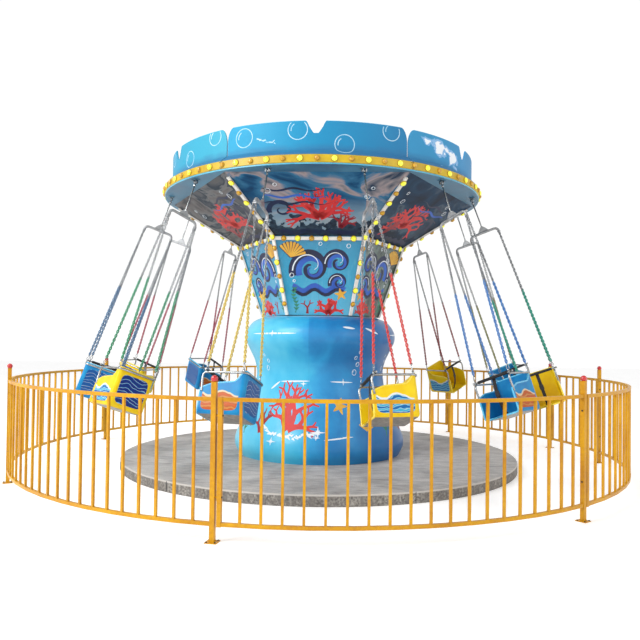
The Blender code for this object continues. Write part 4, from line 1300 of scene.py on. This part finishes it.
def hooks(shape):
    """Snap hooks between the chains and the seat's lugs, with a ferrule at both ends of each chain."""
    lower = ((0.006, 0), (0.0085, 0.003), (0.0085, 0.011), (0.006, 0.014))
    upper = ((0.005, -0.004), (0.008, 0.0), (0.008, 0.008), (0.005, 0.012))
    for line, length in chain_lines():
        middle = length - HOOK_LENGTH / 2 + 0.004
        loop = [line @ Vector((0.0125 * c, 0, middle + 0.027 * s)) for c, s in circle(14)]
        shape.tube(loop, HOOK_WIRE, 6, loop=True)
        shape.turned(lower, 8, line @ at(0, 0, length - HOOK_LENGTH - 0.006))
        shape.turned(upper, 8, line @ at(0, 0, -0.004))


def mirrored(half):
    """A path that runs up the left side and down the right one, from its right half run upward."""
    return [(-x, y, z) for x, y, z in half] + list(reversed(half))


def hanger(shape):
    """Bent spreader tube, gusset, collars and shackle blocks."""
    right = [(SPREADER_HALF, 0, SPREADER_HEIGHT - SPREADER_DROP + 0.002)]
    for degrees in (0, 22, 45, 68, 90):
        x, z = off(SPREADER_HALF - SPREADER_BEND, SPREADER_HEIGHT - SPREADER_BEND, degrees, SPREADER_BEND)
        right.append((x, 0, z))
    shape.tube(mirrored(right), SPREADER_TUBE, 12)
    shape.grid([[(x, y, z) for x, z in GUSSET] for y in (0.005, -0.005)], caps=True)
    collar = ((0.0175, -0.010), (0.0195, -0.006), (0.0195, 0.006), (0.0175, 0.010))
    for side in (-SPREADER_HALF, SPREADER_HALF):
        shackle = at(side, 0, CHAIN_TOP.z + 0.002)
        shape.turned(collar, 12, at(side, 0, -0.488))
        shape.block((0.024, SHACKLE_WIDTH, 0.018), shackle, 0.003)
        for end in (-1, 1):
            shape.bolt(shackle @ at(0, end * SHACKLE_WIDTH / 2, 0) @ tilt(-end * pi / 2), *SHACKLE_BOLT)


def eye(shape):
    """Bright eye, rod and nuts between the canopy's pin and the spreader."""
    shape.tube([(x, 0, z) for x, z in circle(20, EYE_RADIUS)], EYE_WIRE, 8, loop=True)
    shape.turned(((0.0085, -0.372), (0.0085, -0.022), (0.006, -0.017)), 12)
    shape.turned(((0.013, -0.050), (0.0145, -0.047), (0.0145, -0.037), (0.013, -0.034)), 6)
    shape.turned(((0.013, -0.372), (0.0150, -0.369), (0.0150, -0.356), (0.013, -0.353)), 6)


def tub_plan():
    """Points round the tub from above, each with its normal, from the left front edge to the right one."""
    side = SEAT_BACK - TUB_CORNER - SEAT_FRONT
    plan = [(-SEAT_HALF, SEAT_FRONT + side * share, -1.0, 0.0) for share in shares(SIDE_STEPS)]
    for degrees in (22, 45, 68):
        c, s = cos(radians(degrees)), sin(radians(degrees))
        plan.append((-SEAT_HALF + TUB_CORNER * (1 - c), SEAT_BACK - TUB_CORNER * (1 - s), -c, s))
    right = [(-x, y, -nx, ny) for x, y, nx, ny in reversed(plan)]
    back = [((SEAT_HALF - TUB_CORNER) * (2 * share - 1), SEAT_BACK, 0.0, 1.0) for share in shares(6)]
    return plan + back + right


def tub_column(x, y, nx, ny, skin):
    """Points up the wall of the tub at one place of its plan, so far in from its outer skin."""
    radius = TUB_FILLET - skin
    floor = SEAT_BOTTOM + skin
    column = []
    for degrees in (0, 30, 60, 90):
        inset = skin + radius * (1 - sin(radians(degrees)))
        column.append((x - nx * inset, y - ny * inset, floor + radius * (1 - cos(radians(degrees)))))
    rise = along(WALL, y) - floor - radius
    return column + [(x - nx * skin, y - ny * skin, floor + radius + rise * share) for share in shares(4)[1:]]


def tub(shape):
    """The moulded tub: a wall that bends into the pan, thickened inward, open at the front and above."""
    rows = [tub_column(*place, 0.0) + tub_column(*place, TUB_WALL)[::-1] for place in tub_plan()]
    shape.grid(rows, ring=False)
    width, count = len(rows[0]), len(rows)
    last = (count - 1) * width

    def face(corners, flipped):
        shape.faces.append(tuple(reversed(corners)) if flipped else tuple(corners))

    for base in (0, last):
        for k in range(width // 2 - 1):
            face((base + k, base + k + 1, base + width - 2 - k, base + width - 1 - k), base)
    corner_end = SIDE_STEPS + 3
    for level in (0, width - 1):
        for i in range(corner_end):
            j = count - 1 - i
            face([k * width + level for k in (i, j, j - 1, i + 1)], not level)
        face([i * width + level for i in range(corner_end, count - corner_end)], level)
    face((0, last, last + width - 1, width - 1), False)


def tub_rim(shape):
    """Rolled rim round the tub's open edge."""
    middle = TUB_WALL / 2
    top = [(x - nx * middle, y - ny * middle, along(WALL, y) + 0.001) for x, y, nx, ny in tub_plan()]
    edge = SEAT_HALF - middle
    front = [(edge, LIP_SIDE_TOP - 0.03 * i) for i in range(6)]
    corner = (edge - LIP_CORNER, LIP_HEIGHT + LIP_CORNER)
    front += [off(*corner, -degrees, LIP_CORNER) for degrees in (0, 30, 60, 90)]
    front += [(edge - LIP_CORNER - 0.074 * i, LIP_HEIGHT) for i in range(1, 5)]
    front += [(-x, z) for x, z in reversed(front[:-1])]
    shape.tube(top + [(x, SEAT_FRONT, z) for x, z in front], RIM_ROLL, 8, loop=True)


def seat_frame(shape):
    """Bright tube round the seat's top, with its lugs, and the bare ends of the lap bar."""
    shape.tube(mirrored(FRAME_SIDE)[::-1], SEAT_TUBE, 10)
    stub = ((0.0095, 0.0), (0.0095, 0.052), (0.012, 0.054), (0.012, 0.062), (0.008, 0.064))
    for side, end in CORNERS:
        shape.block((0.012, 0.026, 0.034), at(side * SEAT_HALF, end * 0.185, -2.284), 0.004)
    for side in (-1, 1):
        shape.turned(stub, 12, at(side * 0.178, *LAP_BAR) @ tilt(side * pi / 2, "Y"))


def bar_foam(shape):
    shape.turned(FOAM_PROFILE, 16, at(-0.180, *LAP_BAR) @ tilt(pi / 2, "Y"))


def strap(shape):
    """Webbing from the lap bar down to the front of the pan, looped round the bar."""
    spine = smooth_curve(STRAP, 4)
    across = (-STRAP_HALF, -0.0065, 0.0065, STRAP_HALF)
    section = [(x, 1) for x in across] + [(x, -1) for x in reversed(across)]
    rows = []
    for i, point in enumerate(spine):
        run = (spine[min(i + 1, len(spine) - 1)] - spine[max(i - 1, 0)]).normalized()
        out = Vector((-run.y, run.x)) * 0.0012
        rows.append([(x, point.x + s * out.x, point.y + s * out.y) for x, s in section])
    shape.grid(rows, caps=True)
    loop = []
    for share in shares(12):
        spots = [off(*LAP_BAR, -20 + 230 * share, radius) for radius in (0.0182, 0.0182, 0.0162, 0.0162)]
        loop.append([(side * STRAP_HALF, *spot) for side, spot in zip((-1, 1, 1, -1), spots)])
    shape.grid(loop, caps=True)


def buckle(shape):
    shape.block((0.050, 0.013, 0.058), at(0, -0.174, -2.455), 0.004)
    shape.block((0.030, 0.016, 0.020), at(0, -0.175, -2.432), 0.004)
    shape.block((0.046, 0.010, 0.022), at(0, -0.110, -2.668) @ tilt(0.9), 0.003)


def build_chairs():
    """The twelve chairs share their meshes; seats and sleeves differ in colour."""
    fills = {
        "spreader": hanger, "eye_rod": eye, "chain_links": links, "chain_sleeves": sleeves,
        "chain_hooks": hooks, "tub": tub, "tub_rim": tub_rim, "seat_frame": seat_frame,
        "bar_foam": bar_foam, "seat_strap": strap, "seat_buckle": buckle,
    }
    meshes = {name: shared(name, fill) for name, fill in fills.items()}
    seats = (BLUE_SEAT, SKY_RIM_HIGHLIGHT, "seat_blue"), (YELLOW_SEAT, LEMON_RIM_HIGHLIGHT, "seat_yellow")
    for index, (dark, light) in enumerate(SLEEVES):
        number = f"{index + 1:02d}"
        body = f"chair_{number}"
        cover = painted(f"sleeve_{number}", dark, light, 70.0, 0.34, 0.2)
        # edge is the rim's finish, lighter than the shell as a painted highlight.
        shell, edge, seat = seats[index % 2]
        angle = chair_angle(index)
        pin = around(angle) @ Vector((0, -PIVOT_RADIUS, PIVOT_HEIGHT))
        place = at(*pin) @ around(angle - pi / 2) @ tilt(-REST_SWING, "Y")
        for name, material, slot, replaced, smooth in (
            ("spreader", GREY_STEEL, "hanger_steel", "chair_hanger", 35),
            ("eye_rod", CHROME, "hanger_steel", None, 40),
            ("chain_links", LINK_STEEL, "hanger_steel", None, 80),
            ("chain_sleeves", cover, "hanger_steel", None, 80),
            ("chain_hooks", CHROME, "hanger_steel", None, 60),
            ("tub", shell, seat, "chair_seat", 50),
            ("tub_rim", edge, seat, None, 80),
            ("seat_frame", CHROME, "hanger_steel", None, 60),
            ("bar_foam", FOAM, seat, None, 60),
            ("seat_strap", WEBBING, seat, None, 60),
            ("seat_buckle", BUCKLE, seat, None, 35),
        ):
            nodes = [f"{replaced}_{number}"] if replaced else ()
            made = piece(f"{name}_{number}", meshes[name], material, body, slot, place, nodes, smooth)
            name == "bar_foam"


# Fence

BALL_RADIUS = 0.0283
POST_HALF = 0.020
FOOT_PLATE = 0.006
FOOT_REACH = 0.036
RAIL_BOLT_HEIGHTS = (0.350, 0.980)


def build_fence():
    """Finish of the railings; a ball, a cap and bolts on each bay post and on the gate's post."""
    for node in NODES:
        if node.startswith(("fence_bay", "gate_")):
            repaint(node, FENCE, 0.002)
    posts = [FENCE_START + FENCE_SPAN * i for i in range(FENCE_BAYS)]
    posts.append(FENCE_START + GATE_SECTOR * FENCE_SPAN + GATE_SPAN)
    ball = [(BALL_RADIUS * sin(radians(a)), -BALL_RADIUS * cos(radians(a))) for a in range(6, 175, 12)]
    balls, bolts, caps = Shape(), Shape(), Shape()
    for index, angle in enumerate(posts):
        post = around(angle) @ at(0, -FENCE_RADIUS, 0)
        balls.turned(ball, 24, post @ at(0, 0, POST_TOP + BALL_RISE))
        caps.block((0.043, 0.043, 0.004), post @ at(0, 0, POST_TOP + 0.001), 0.001)
        for x, y in CORNERS:
            bolts.bolt(post @ at(x * FOOT_REACH, y * FOOT_REACH, FOOT_PLATE), *FOOT_BOLT)
        stile = around(angle + STILE_OFFSET) @ at(0.018, -FENCE_RADIUS, 0)
        for height in RAIL_BOLT_HEIGHTS:
            spots = [post @ at(x * POST_HALF, 0, height) @ tilt(x * pi / 2, "Y") for x in (-1, 1)]
            if index != GATE_SECTOR:
                spots.append(stile @ at(0, 0, height) @ tilt(pi / 2, "Y"))
            for spot in spots:
                bolts.bolt(spot, *RAIL_BOLT)
    piece("post_balls", balls, RED, "root", "fence_paint", smooth=60)
    piece("post_caps", caps, FENCE, "root", "fence_paint")
    piece("fence_bolts", bolts, BOLT, "root", "fence_paint")


# Stage

WHITE = (1.0, 1.0, 1.0, 1.0)
FLOOR_GLOW = 0.28
FLOOR_HALF = 40
# The studio's light stays white near the horizon and fades overhead: from, to, first and last strength
WORLD_FADE = (0.50, 0.85, 1.03, 0.45)
# Name, place, size and energy
LIGHTS = (
    ("key", (-9.0, -8.0, 9.0), 8.0, 1400),
    ("fill", (8.0, -7.0, 5.0), 6.0, 120),
    ("top", (0.0, 3.0, 11.0), 7.0, 200),
)
LIGHT_AIM = Vector((0, 0, 1.8))


def build_floor():
    shape = Shape()
    shape.grid([[(x * FLOOR_HALF, y * FLOOR_HALF, 0) for x in (-1, 1)] for y in (-1, 1)], ring=False)
    floor = linked("floor", shape.mesh("floor"))
    finish = Finish("floor_pale", roughness=0.9)
    finish.feed(finish.shader, {"Emission Color": WHITE, "Emission Strength": FLOOR_GLOW})
    tone = finish.noise(0.6, 3.0).ramp((0.3, (0.90, 0.90, 0.90, 1)), (0.7, (0.95, 0.95, 0.95, 1)))
    floor.data.materials.append(finish.paint(tone))


def build_studio():
    SCENE.world = bpy.data.worlds.new("studio")
    sky = Nodes(SCENE.world)
    height = sky.add("ShaderNodeSeparateXYZ", {0: sky.add("ShaderNodeTexCoord", output="Generated")}, 2)
    background = sky.tree.nodes["Background"].inputs
    sky.feed(background, {"Color": WHITE, "Strength": height.between(*WORLD_FADE)})
    SCENE.view_settings.view_transform = "Standard"
    for name, place, size, energy in LIGHTS:
        data = bpy.data.lights.new(name, "AREA")
        data.shape = "DISK"
        data.size = size
        data.energy = energy
        light = linked(name, data)
        light.matrix_world = facing(place, LIGHT_AIM - Vector(place), "-Z")


build_camera()
build_base()
build_crest()
build_rim()
build_clevises()
build_roof()
repaint("tower", TOWER)
repaint("funnel", FUNNEL)
repaint("canopy_deck", DECK)
repaint("slew_ring", GREY_STEEL)
repaint("light_frame", STRIP, 0.002)
build_lamps()
build_motifs()
build_chairs()
build_fence()
build_floor()
build_studio()
